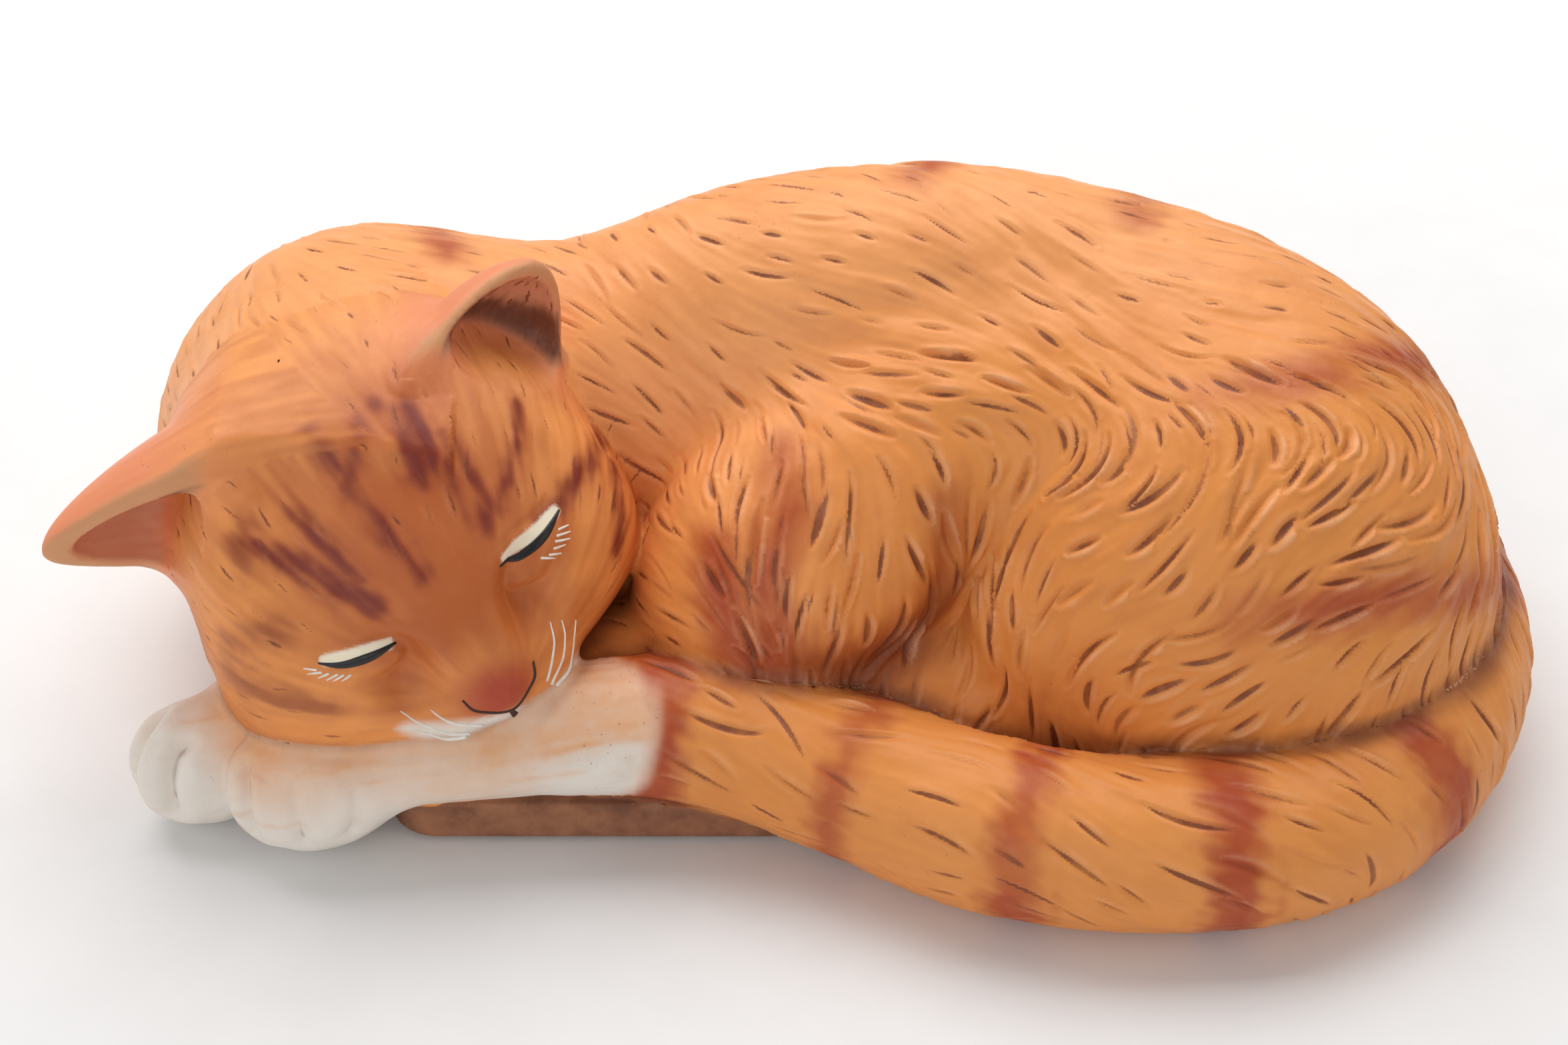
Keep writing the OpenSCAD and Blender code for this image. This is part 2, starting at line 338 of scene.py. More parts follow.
def net_vertices(low, labels, values):
    """One vertex in every grid cell that holds more than one label."""
    shape = tuple(n - 1 for n in labels.shape)

    def cut(corner):
        return tuple(slice(c, c + n) for c, n in zip(corner, shape))

    first = labels[cut((0, 0, 0))]
    mixed = np.zeros(shape, bool)
    for corner in np.ndindex(2, 2, 2):
        mixed |= labels[cut(corner)] != first
    cells = np.argwhere(mixed)
    ids = np.full(shape, -1, np.int32)
    ids[mixed] = np.arange(len(cells))
    total = np.zeros((2, len(cells), 3))
    count = np.zeros((2, len(cells)))
    for axis in range(3):
        others = [a for a in range(3) if a != axis]
        for i, j in np.ndindex(2, 2):
            start = np.zeros(3, int)
            start[others[0]], start[others[1]] = i, j
            end = start.copy()
            end[axis] = 1
            a, b = tuple((cells + start).T), tuple((cells + end).T)
            la, lb, va, vb = labels[a], labels[b], values[a], values[b]
            outer = (la != lb) & ((la == 0) | (lb == 0))
            wall = (la != lb) & ~outer
            t = np.where(outer, np.clip(va / np.where(va == vb, 1, va - vb), 0, 1), 0.5)
            place = (cells + start).astype(float)
            place[:, axis] += t
            for kind, mask in enumerate((outer, wall)):
                total[kind][mask] += place[mask]
                count[kind][mask] += 1
    on_skin = count[0] > 0
    chosen = np.where(on_skin[:, None], total[0], total[1])
    number = np.where(on_skin, count[0], count[1])
    return low + PITCH * chosen / number[:, None], on_skin, ids


def net_faces(labels, ids):
    """Quads between unlike labels: the vertices, the part inside and the part outside (0 is air)."""
    quads, inside, outside = [], [], []
    for axis in range(3):
        b, c = (axis + 1) % 3, (axis + 2) % 3
        n = labels.shape
        here = [slice(1, m - 1) for m in n]
        ahead = list(here)
        here[axis], ahead[axis] = slice(0, n[axis] - 1), slice(1, n[axis])
        la, lb = labels[tuple(here)], labels[tuple(ahead)]
        edges = np.argwhere(la != lb)
        start = edges + np.array([0 if a == axis else 1 for a in range(3)])
        ring = []
        for db, dc in ((-1, -1), (0, -1), (0, 0), (-1, 0)):
            cell = start.copy()
            cell[:, b] += db
            cell[:, c] += dc
            ring.append(ids[tuple(cell.T)])
        quad = np.stack(ring, axis=1)
        near, far = la[tuple(edges.T)], lb[tuple(edges.T)]
        flip = near == 0
        quads.append(np.where(flip[:, None], quad[:, ::-1], quad))
        inside.append(np.where(flip, far, near))
        outside.append(np.where(flip, 0, far))
    return np.concatenate(quads), np.concatenate(inside), np.concatenate(outside)


def neighbours_mean(points, edges):
    total = np.zeros_like(points)
    count = np.zeros(len(points))
    for a, b in ((edges[:, 0], edges[:, 1]), (edges[:, 1], edges[:, 0])):
        for axis in range(3):
            total[:, axis] += np.bincount(a, points[b, axis], len(points))
        count += np.bincount(a, minlength=len(points))
    return total / np.maximum(count, 1)[:, None], count


def quad_edges(quads):
    pairs = np.concatenate([quads[:, [i, (i + 1) % 4]] for i in range(4)])
    return np.sort(pairs, axis=1)


def find_seams(quads, inside, outside):
    """Edges where the skin passes from one part to the next."""
    skin = outside == 0
    pairs = quad_edges(quads[skin])
    owner = np.tile(inside[skin], 4)
    key = pairs[:, 0].astype(np.int64) << 32 | pairs[:, 1]
    order = np.argsort(key, kind="stable")
    key, owner, pairs = key[order], owner[order], pairs[order]
    same = key[1:] == key[:-1]
    differ = same & (owner[1:] != owner[:-1])
    return pairs[1:][differ]


def relax(points, quads, inside, outside, on_skin, rounds):
    seams = find_seams(quads, inside, outside)
    skin_edges = np.unique(quad_edges(quads[outside == 0]), axis=0)
    wall_edges = np.unique(quad_edges(quads[outside > 0]), axis=0)
    on_seam = np.zeros(len(points), bool)
    on_seam[seams] = True
    for _ in range(rounds):
        open_mean, _ = neighbours_mean(points, skin_edges)
        wall_mean, _ = neighbours_mean(points, wall_edges)
        seam_mean, ends = neighbours_mean(points, seams)
        goal = np.where(on_skin[:, None], open_mean, wall_mean)
        goal = np.where(on_seam[:, None], seam_mean, goal)
        goal[on_seam & (ends != 2)] = points[on_seam & (ends != 2)]
        points = points + 0.5 * (goal - points)
    return points


def subdivide(points, quads, inside, outside, on_skin):
    pairs = quad_edges(quads)
    key = pairs[:, 0].astype(np.int64) << 32 | pairs[:, 1]
    unique, back = np.unique(key, return_inverse=True)
    a, b = unique >> 32, unique & 0xFFFFFFFF
    edge_id = len(points) + back.reshape(4, len(quads)).T
    centre_id = len(points) + len(unique) + np.arange(len(quads))
    on_outer = np.zeros(len(unique), bool)
    on_outer[back.reshape(4, len(quads))[:, outside == 0]] = True
    points = np.vstack([points, 0.5 * (points[a] + points[b]), points[quads].mean(axis=1)])
    on_skin = np.concatenate([on_skin, on_outer, outside == 0])
    small = [np.stack([quads[:, i], edge_id[:, i], centre_id, edge_id[:, (i + 3) % 4]], axis=1)
             for i in range(4)]
    return points, np.concatenate(small), np.tile(inside, 4), np.tile(outside, 4), on_skin


def vertex_normals(points, quads):
    across = points[quads[:, 2]] - points[quads[:, 0]]
    along = points[quads[:, 3]] - points[quads[:, 1]]
    face = np.cross(across, along)
    out = np.zeros_like(points)
    for i in range(4):
        for axis in range(3):
            out[:, axis] += np.bincount(quads[:, i], face[:, axis], len(points))
    return unit(out)


def build_skin():
    low, labels, values = sample_grid()
    points, on_skin, ids = net_vertices(low, labels, values)
    quads, inside, outside = net_faces(labels, ids)
    points[on_skin] = settle(points[on_skin])[0]
    points = relax(points, quads, inside, outside, on_skin, 3)
    points[on_skin] = settle(points[on_skin])[0]
    points, quads, inside, outside, on_skin = subdivide(points, quads, inside, outside, on_skin)
    points[on_skin] = settle(points[on_skin])[0]
    return points, quads, inside, outside, on_skin


# ---------------------------------------------------------------- noise and the lie of the fur
def lattice(p, seed):
    """A repeatable random value from 0 to 1 at each whole-number point."""
    k = p.astype(np.int64)
    h = (k[:, 0] * 73856093) ^ (k[:, 1] * 19349663) ^ (k[:, 2] * 83492791) ^ (seed * 2654435761)
    h = (h ^ (h >> 13)) * 1274126177 & 0xFFFFFFFF
    return ((h ^ (h >> 16)) & 0xFFFF) / 65535.0


def noise(p, size, seed=0):
    """Smooth noise from -1 to 1 with features of that size in millimetres."""
    q = p / size + 500.0
    k = np.floor(q)
    f = q - k
    f = f * f * (3 - 2 * f)
    out = np.zeros(len(p))
    for corner in np.ndindex(2, 2, 2):
        w = np.prod(np.where(np.array(corner) == 1, f, 1 - f), axis=1)
        out += w * lattice(k + corner, seed)
    return 2 * out - 1


DOWN = unit((0.0, -0.62, -0.66))
NOSE_AT = from_head((0, 47, 18))


def fur_angle(p):
    """How far the fur turns from running down the flank (0) to running from head to rump (pi / 2)."""
    x, y, z = p.T
    haunch = np.radians(8 - (66 - 22 * step_up(-z, -75, -40)) * step_up(x, 22, 62)
                        + 44 * step_up(x, 112, 165))
    wave = 0.30 * np.sin(x / 12 + z / 17 + 0.8) + 0.22 * np.sin(z / 9 - x / 23 + 2.1)
    back = np.radians(62) + 0.25 * np.sin(x / 15 + y / 21)
    on_back = step_up(z + 0.62 * y - 0.10 * np.abs(x - 40), 66, 96)
    front = 1 - step_up(x, -45, -5)
    on_back = np.maximum(on_back, front)
    return (haunch + wave) * (1 - on_back) + back * on_back


def fur_flow(p, normal, part):
    """The direction that the fur lies in, along the surface. part is an index in PARTS."""
    down = unit(DOWN - normal * (normal @ DOWN)[:, None])
    side = np.cross(down, normal)
    side *= np.where(side[:, :1] < 0, -1.0, 1.0)
    angle = fur_angle(p)
    tail_angle = np.radians(62 - 50 * step_up(p[:, 0], 140, 165)) + 0.2 * np.sin(p[:, 0] / 12)
    angle = np.where(part == TAIL_PART, tail_angle, angle)
    flow = down * np.cos(angle)[:, None] + side * np.sin(angle)[:, None]
    flow = np.where((part == SKULL)[:, None], p - NOSE_AT, flow)
    flow = np.where(np.isin(part, LEGS)[:, None], np.array([-1.0, -0.12, -0.1]), flow)
    for index, ear in EARS:
        flow = np.where((part == index)[:, None], ear_axes(ear)[1][2], flow)
    flow = flow - normal * (flow * normal).sum(axis=1, keepdims=True)
    return unit(flow)


def combed_noise(p, normal, part, size, reach, seed):
    """Noise drawn out along the fur, for combed hair."""
    steps = 6
    total = noise(p, size, seed)
    for sign in (-1, 1):
        q = p.copy()
        for _ in range(steps):
            q = q + fur_flow(q, normal, part) * (sign * reach / steps)
            total += noise(q, size, seed)
    return total / np.sqrt(2 * steps + 1)


# ---------------------------------------------------------------- carved strokes
def scatter(points, spacing, flow, stretch, tries):
    """Picks well spread points, further apart along the flow than across it."""
    buckets, kept = {}, []
    cell = spacing * stretch
    for i in rng.permutation(len(points))[:tries]:
        here = points[i]
        x, y, z = np.floor(here / cell).astype(int)
        near = []
        for a, b, c in np.ndindex(3, 3, 3):
            near += buckets.get((x + a - 1, y + b - 1, z + c - 1), [])
        gap = points[near] - here
        along = gap @ flow[i]
        if ((gap ** 2).sum(axis=1) - along ** 2 * (1 - stretch ** -2) >= spacing ** 2).all():
            buckets.setdefault((x, y, z), []).append(i)
            kept.append(i)
    return np.array(kept)


def trace(starts, normals, part, lengths, stride=1.0):
    """Walks along the fur from each start. Gives points, and how far along its stroke each one is."""
    count = int(np.ceil(lengths.max() / stride)) + 1
    turn = rng.normal(0, 0.09, len(starts))
    bend = rng.normal(0, 0.018, len(starts))
    p, n = starts.copy(), normals
    path, up = [p], [n]
    for i in range(count - 1):
        flow = fur_flow(p, n, part)
        angle = turn + bend * i * stride
        flow = flow * np.cos(angle)[:, None] + np.cross(n, flow) * np.sin(angle)[:, None]
        p, n = settle(p + flow * stride)
        path.append(p)
        up.append(n)
    along = np.arange(count)[None, :] * stride / lengths[:, None]
    return np.stack(path, axis=1), np.stack(up, axis=1), along


def distance_to_strokes(points, path, up, along, width, limit):
    """Each point's signed distance to the nearest stroke in its half widths, how full the stroke is
    there, and which stroke it is."""
    keep = along <= 1.0
    owner, spot = np.nonzero(keep)
    samples = path[owner, spot]
    tree = KDTree(len(samples))
    for i, s in enumerate(samples):
        tree.insert(s, i)
    tree.balance()
    share = np.full(len(points), 9.0)
    full = np.zeros(len(points))
    which = np.zeros(len(points), int)
    for i, point in enumerate(points):
        _, j, gap = tree.find(point)
        if gap > limit:
            continue
        o, s = owner[j], spot[j]
        best, best_u, off = gap, along[o, s], point - path[o, s]
        for t in (s - 1, s + 1):
            if 0 <= t < path.shape[1] and keep[o, t]:
                a, b = path[o, s], path[o, t]
                run = b - a
                f = min(max(((point - a) @ run) / (run @ run), 0.0), 1.0)
                d = point - a - f * run
                size = (d @ d) ** 0.5
                if size < best:
                    best, best_u, off = size, along[o, s] + f * (along[o, t] - along[o, s]), d
        s2 = min(s + 1, path.shape[1] - 1)
        run = path[o, s2] - path[o, s2 - 1]
        side = np.dot(np.cross(up[o, s], run), off)
        taper = max(np.sin(np.pi * min(0.04 + 0.94 * best_u, 1.0)), 0.03) ** 0.5
        share[i] = best / (width[o] * (0.35 + 0.65 * taper)) * (1 if side > 0 else -1)
        full[i] = taper
        which[i] = o
    return share, full, which


def polyline_distance(p, points):
    """Distance to a line through the points, and how far along it the nearest place is, 0 to 1."""
    pts = np.asarray(points, float)
    lengths = np.linalg.norm(np.diff(pts, axis=0), axis=1)
    start = np.concatenate([[0], np.cumsum(lengths)])
    best, along = np.full(len(p), 1e3), np.zeros(len(p))
    for i, (a, b) in enumerate(zip(pts[:-1], pts[1:])):
        run = b - a
        t = np.clip(((p - a) @ run) / (run @ run), 0, 1)
        gap = np.linalg.norm(p - a - t[:, None] * run, axis=1)
        near = gap < best
        best = np.where(near, gap, best)
        along = np.where(near, (start[i] + t * lengths[i]) / start[-1], along)
    return best, along


# ---------------------------------------------------------------- painted lines of the face
# Head axes, millimetres.
EYE_RIGHT = [(-33.0, 20.0, 28.4), (-29.0, 23.3, 30.0), (-23.0, 25.3, 31.1), (-15.4, 25.6, 30.7)]
EYE_LEFT = [(14.2, 23.6, 34.9), (19.5, 23.6, 32.1), (26.7, 22.5, 31.4), (33.5, 18.6, 28.2)]
LID_RIGHT = [(-31.5, 20.3, 29.4), (-28.4, 21.8, 30.9), (-23.0, 23.6, 32.0), (-17.0, 25.0, 31.3)]
LID_LEFT = [(16.4, 22.6, 34.6), (20.6, 21.4, 33.9), (27.4, 20.4, 32.0), (32.6, 18.3, 29.0)]
LASHES_RIGHT = [((-34.1, 21.1, 27.2), (-36.5, 19.0, 25.8)), ((-33.4, 22.2, 27.4), (-36.4, 20.5, 25.4)),
                ((-32.1, 23.3, 27.9), (-34.8, 22.7, 25.9)), ((-30.5, 24.6, 28.4), (-33.4, 24.2, 26.3)),
                ((-29.4, 25.5, 28.6), (-32.2, 25.2, 26.6)), ((-28.0, 26.4, 28.7), (-30.6, 26.3, 27.1))]
LASHES_LEFT = [((30.8, 22.6, 29.2), (33.7, 22.6, 26.9)), ((29.7, 23.7, 29.5), (33.3, 24.1, 26.4)),
               ((28.7, 24.7, 29.6), (32.4, 25.5, 26.2)), ((27.5, 25.9, 29.3), (30.6, 26.3, 27.2)),
               ((25.8, 26.6, 29.4), (28.7, 27.5, 27.2)), ((23.7, 26.3, 30.3), (26.8, 27.8, 27.7))]
NOSE_LINE = [(-9.0, 44.6, 23.1), (-7.9, 47.6, 20.0), (-4.8, 50.0, 18.5), (-0.3, 51.9, 15.6),
             (2.5, 51.6, 15.3), (5.8, 50.1, 16.9), (8.7, 48.3, 18.0), (10.0, 45.4, 21.5)]
NOSE_DROP = [(-0.3, 51.7, 15.9), (0.3, 53.1, 12.8)]
WHISKERS = [[(-11.0, 51.2, 12.6), (-16.8, 47.6, 14.2), (-22.5, 38.9, 20.9)],
            [(-12.0, 51.2, 11.8), (-16.8, 49.0, 12.4), (-21.5, 44.2, 14.9)],
            [(-7.5, 51.4, 13.6), (-13.5, 47.6, 16.4), (-16.6, 42.6, 21.4)],
            [(11.0, 50.4, 13.2), (14.9, 46.6, 16.9), (18.4, 39.4, 21.4)],
            [(11.4, 51.6, 11.6), (17.8, 47.2, 13.9), (21.0, 40.4, 20.3)],
            [(12.0, 52.6, 10.2), (19.4, 49.0, 9.2), (24.0, 41.6, 17.0)]]

# Stripes: points in head axes, then half width.
BROW_STRIPES = [([(-32.8, -13, 32.2), (-24.9, -0.2, 36.8), (-15.7, 16.1, 37.6)], 2.6),
                ([(-20.3, -23.1, 40.5), (-19.7, -14, 39.9), (-18.1, -2.6, 39.6), (-15, 10, 38.5)], 1.5),
                ([(-7.3, -26, 39.1), (-6.7, -12.3, 44.3), (-4.6, 0.9, 42.2), (-2.4, 16.8, 39.6)], 1.7),
                ([(14, -18, 39), (12, -10, 41.5), (9, -4, 43)], 4.2),
                ([(17.4, -9, 40.2), (19, 1, 40), (21, 12, 37)], 1.6),
                ([(9.1, -23, 38.4), (0, -17, 42), (-8, -8, 43)], 1.6),
                ([(16.9, -1.9, 41), (16.2, 6.5, 40.7), (16.5, 15, 38.5)], 1.8),
                ([(38.9, -7.6, 28), (30.6, 2.9, 33.5), (20.6, 12, 37.7)], 1.0),
                ([(56.6, 4.4, 0), (42.2, 13.3, 22.7), (29.2, 19.5, 30.8)], 2.2),
                ([(52.9, 13.3, 8.3), (47.4, 23.8, 13.2), (41.8, 32.9, 11.5)], 2.6)]
CHEEK_STRIPES = [([(-49.1, 2.8, 15.5), (-36.2, 9.2, 28.4)], 3.0),
                 ([(-51, 8.5, 12.4), (-45.1, 20, 18), (-36.6, 29.1, 20.7)], 4.4),
                 ([(-30, -18, 34), (-36, -8, 29)], 4.0)]
MUZZLE = [(-22, 42.5, 15), (-14, 48, 13), (-4, 52, 12.5), (4, 55, 10), (13, 53.5, 7), (21, 50.5, 5)]
# Stripes on the body: points in the cat's frame, then half width.
BODY_STRIPES = [([(98, -55, 72), (119, -54, 76), (139, -47, 75), (160, -32, 64), (176, -5, 42),
                  (172, 30, 40)], 6.0),
                ([(92, -14, 112), (107, -12, 109), (123, -3, 107), (147, 19, 94), (158, 44, 66),
                  (150, 66, 40)], 5.5),
                ([(-9, -12, 90), (-7, -25, 84), (-13, -37, 70), (-11, -45, 50)], 5.0),
                ([(-25, -28, 73), (-22, -40, 60), (-18, -45, 50)], 6.0),
                ([(24, 50, 125), (30, 62, 124), (28, 80, 110), (22, 96, 84), (18, 98, 52)], 6.0),
                ([(78, 44, 120), (84, 66, 108), (84, 84, 84), (80, 94, 50)], 6.0),
                ([(-34, 56, 106), (-38, 78, 88), (-38, 90, 60), (-36, 90, 36)], 6.0),
                ([(-92, 44, 108), (-104, 72, 88), (-108, 88, 56)], 6.0)]
HOLLOWS = [([(31, -22, 82), (30, -28, 66), (28, -31, 54), (24, -35, 45)], 3.6),
           ([(26, -33, 50), (14, -40, 45), (2, -43, 47), (-12, -45, 50)], 9.0)]
# the fold where the painted shade is deepest
SHADED_FOLD = [([(33, -24, 60), (26, -33, 48), (14, -39, 42), (-6, -42, 46)], 5.0)]
THIGH_EDGE = [(-32, -22, 70), (-15, -19, 84), (-6, -10, 92), (3, 2, 102), (17, 14, 111), (40, 24, 119),
              (55, 25, 119), (72, 25, 118), (92, 28, 117)]
TAIL_BANDS = [((-41, -45), 8.5, 1.0), ((12, -57), 4.5, 0.6), ((50, -73), 5.0, 0.8),
              ((97, -75), 6.0, 0.95), ((137, -56), 5.5, 0.85), ((151, 16), 6.0, 0.5)]


def tail_run(p):
    """Length along the tail of the nearest place on its axis."""
    axis = TAIL[:, :3]
    steps = np.linalg.norm(np.diff(axis, axis=0), axis=1)
    start = np.concatenate([[0], np.cumsum(steps)])
    best, run = np.full(len(p), 1e3), np.zeros(len(p))
    for i, (a, b) in enumerate(zip(axis[:-1], axis[1:])):
        d = b - a
        t = np.clip(((p - a) @ d) / (d @ d), 0, 1)
        gap = np.linalg.norm(p - a - t[:, None] * d, axis=1)
        run = np.where(gap < best, start[i] + t * steps[i], run)
        best = np.minimum(best, gap)
    return run


def stripes_mask(p, stripes, feather, ragged):
    out = np.zeros(len(p))
    for points, half_width in stripes:
        gap, along = polyline_distance(p, points)
        ends = step_up(along, -0.35, 0.25) * (1 - step_up(along, 0.75, 1.35))
        edge = half_width * (0.55 + 0.45 * ends) + ragged
        out = np.maximum(out, 1 - step_up(gap, edge - feather, edge + feather))
    return out


def ear_inside(p, ear):
    """1 on the inner face of the ear's cup."""
    _, ey, straight, height = ear_place(p, ear)
    hollow = ear_hollow(straight, ear, height)
    return (1 - step_up(hollow, 0.6, 1.8)) * (1 - step_up(ey, 0.0, 3.0))


def share_of(mine, others, soft):
    """1 where a part is the nearer one, 0 where another is, and soft across the joint."""
    return 1 - step_up(mine - others, -soft, soft)


def paint_masks(p, part, parts, hair, ragged):
    """How much of each paint there is at each point, 0 to 1."""
    q = to_head(p)
    x, y, z = p.T
    wide = noise(p, 22, 5)
    mid = noise(p, 9, 6)
    masks = {}
    tail_d, skull_d = parts[TAIL_PART], parts[SKULL]
    legs_d = np.minimum(parts[OUTER_LEG], parts[INNER_LEG])
    body_d = np.minimum(parts[BASE], parts[BODY])
    head_d = parts[SKULL:RIGHT_EAR + 1].min(axis=0)
    is_head = share_of(head_d, np.minimum(np.minimum(body_d, legs_d), tail_d), 1.0)
    is_leg = share_of(legs_d, np.minimum(np.minimum(body_d, head_d), tail_d), 0.8)
    is_tail = share_of(tail_d, np.minimum(np.minimum(body_d, head_d), legs_d), 0.8)
    height = z + 0.62 * y
    fore = 1 - step_up(x, -30, 20)
    # Paler orange on the top, the back and the front of the flank: painted light from above, mixed with the
    # paler paint of the back
    masks["top_paint_and_light"] = step_up(height + 8 * wide + 4 * mid + 42 * fore, 84, 142)
    masks["top_paint_and_light"] *= (1 - is_tail) * (1 - 0.6 * is_head)
    low = 1 - step_up(height + 6 * wide, 96, 132)
    masks["ochre"] = np.maximum(step_up(x + 12 * wide, -10, 45) * low, is_tail * 0.9)
    masks["ochre"] *= 1 - is_head
    red = 2.2 * ragged
    rust = stripes_mask(p, BODY_STRIPES, 6.0, red) * np.clip(0.85 + 0.5 * noise(p, 15, 12), 0.3, 1)
    run = tail_run(p)
    for (bx, by), half_width, strength in TAIL_BANDS:
        nearest = TAIL[np.argmin(np.hypot(TAIL[:, 0] - bx, TAIL[:, 1] - by))]
        middle = tail_run(nearest[None, :3])[0]
        gap = np.abs(run - middle) + 3.6 * ragged
        patchy = np.clip(strength + 0.45 * (noise(p, 13, 9) + 0.2), 0.25, 1) if strength < 1 else 1.0
        band = (1 - step_up(gap, half_width - 4.5, half_width + 4.5)) * patchy
        rust = np.maximum(rust, band * is_tail)
    # painted shade: dark red-brown along the creases where the thigh meets the flank and the tail
    masks["hollow_shade"] = stripes_mask(p, HOLLOWS, 8.0, red) * (1 - is_tail) * (1 - is_head)
    brow = stripes_mask(q, BROW_STRIPES, 2.2, 1.7 * ragged)
    cheek = stripes_mask(q, CHEEK_STRIPES, 4.0, 1.5 * ragged)
    masks["rust"] = (1 - is_head) * rust
    masks["plum"] = is_head * np.maximum(brow, 0.62 * cheek)
    masks["halo"] = is_head * stripes_mask(q, BROW_STRIPES, 5.5, 2.4 * ragged) * 0.7
    face = 1 - step_up(np.linalg.norm((q - (2, 4, 28)) / (42, 54, 30), axis=1), 0.45, 1.25)
    cheeks = step_up(-q[:, 2], -16, 6) * 0.55
    masks["umber"] = np.clip(np.maximum(face, cheeks) + 0.30 * mid + 0.15 * hair, 0, 1) * is_head
    # white paws, tail end and muzzle
    white_tip = is_tail * (1 - step_up(x + 2.5 * hair, -52.5, -47.5))
    white_tip *= 1 - step_up(z + 0.25 * (x + 46), 34, 44)
    muzzle = stripes_mask(q, [(MUZZLE, 3.4)], 2.2, 0.8 * hair)
    chin = 1 - step_up(np.linalg.norm((q - (3, 55, 2)) / (22, 12, 9), axis=1) + 0.05 * hair, 0.8, 1.15)
    muzzle = np.maximum(muzzle, chin)
    lids = stripes_mask(q, [(LID_RIGHT, 1.35), (LID_LEFT, 1.45)], 0.5, 0)
    masks["cream"] = np.clip(is_leg + white_tip + muzzle * is_head + lids * is_head, 0, 1)
    masks["lid"] = lids * is_head
    peach = is_leg * (1 - step_up(skull_d + 3.5 * wide, 1.0, 19)) * step_up(z, 6, 24)
    streaks = 0.35 * is_leg * step_up(hair + 0.4 * mid, 0.5, 1.6)
    shoulder = 0.95 * step_up(z + 3 * hair, 34, 43) * step_up(x + 4 * mid, -84, -64)
    wrist = 0.6 * step_up(z + 3 * mid, 34, 46)
    masks["peach"] = np.clip(peach + is_leg * np.maximum(shoulder, wrist) + streaks, 0, 1)
    # ears
    blush, inner, rim, pit = (np.zeros(len(p)) for _ in range(4))
    for index, ear in EARS:
        ex, ey, straight, height = ear_place(p, ear)
        up = straight[:, 2] / height
        near = 1 - step_up(parts[index], 0, 12)
        blush = np.maximum(blush, near * step_up(up, -0.25, 0.5))
        cup = ear_inside(p, ear) * (1 - step_up(parts[index], 0.5, 3))
        inner = np.maximum(inner, cup)
        # painted shade deep in each ear's cup towards the root, reaching further up the left ear
        shade_below = 0.6 if index == LEFT_EAR else 0.25
        pit = np.maximum(pit, cup * (1 - step_up(up + 0.05 * hair, shade_below, shade_below + 0.15)))
        edge = 1 - step_up(np.abs(ey - 2.0 + 0.006 * ex ** 2), 0.4, 2.8)
        rim = np.maximum(rim, edge * (1 - step_up(parts[index], 0.5, 3)) * (1 - cup) * step_up(up, 0.0, 0.2))
    masks["blush"] = blush * is_head
    masks["inner"] = inner
    masks["pit"] = pit
    masks["rim"] = rim
    nose_gap = np.linalg.norm((q - (-0.5, 45, 20)) / (10.0, 10.5, 9), axis=1)
    nose_pad = 1 - step_up(nose_gap + 0.10 * mid + 0.07 * hair, 0.5, 1.25)
    masks["nose"] = nose_pad * is_head
    # painted shade in the valley between thigh, tail and body, deepest along the fold, and where the legs
    # touch the head
    valley = np.sort(np.stack([tail_d, body_d, skull_d]), axis=0)[1]
    valley = valley + 12 * step_up(z, 44, 64)
    deep = stripes_mask(p, SHADED_FOLD, 5.0, 1.2 * mid)
    contact = 1 - step_up(np.maximum(legs_d, skull_d), 0.4, 2.6)
    masks["dust"] = np.clip(np.maximum(1 - step_up(valley + 1.2 * mid, 0.5, 7), 0.8 * deep), 0, 1)
    masks["dust"] = np.maximum(masks["dust"], 0.55 * contact)
    return masks


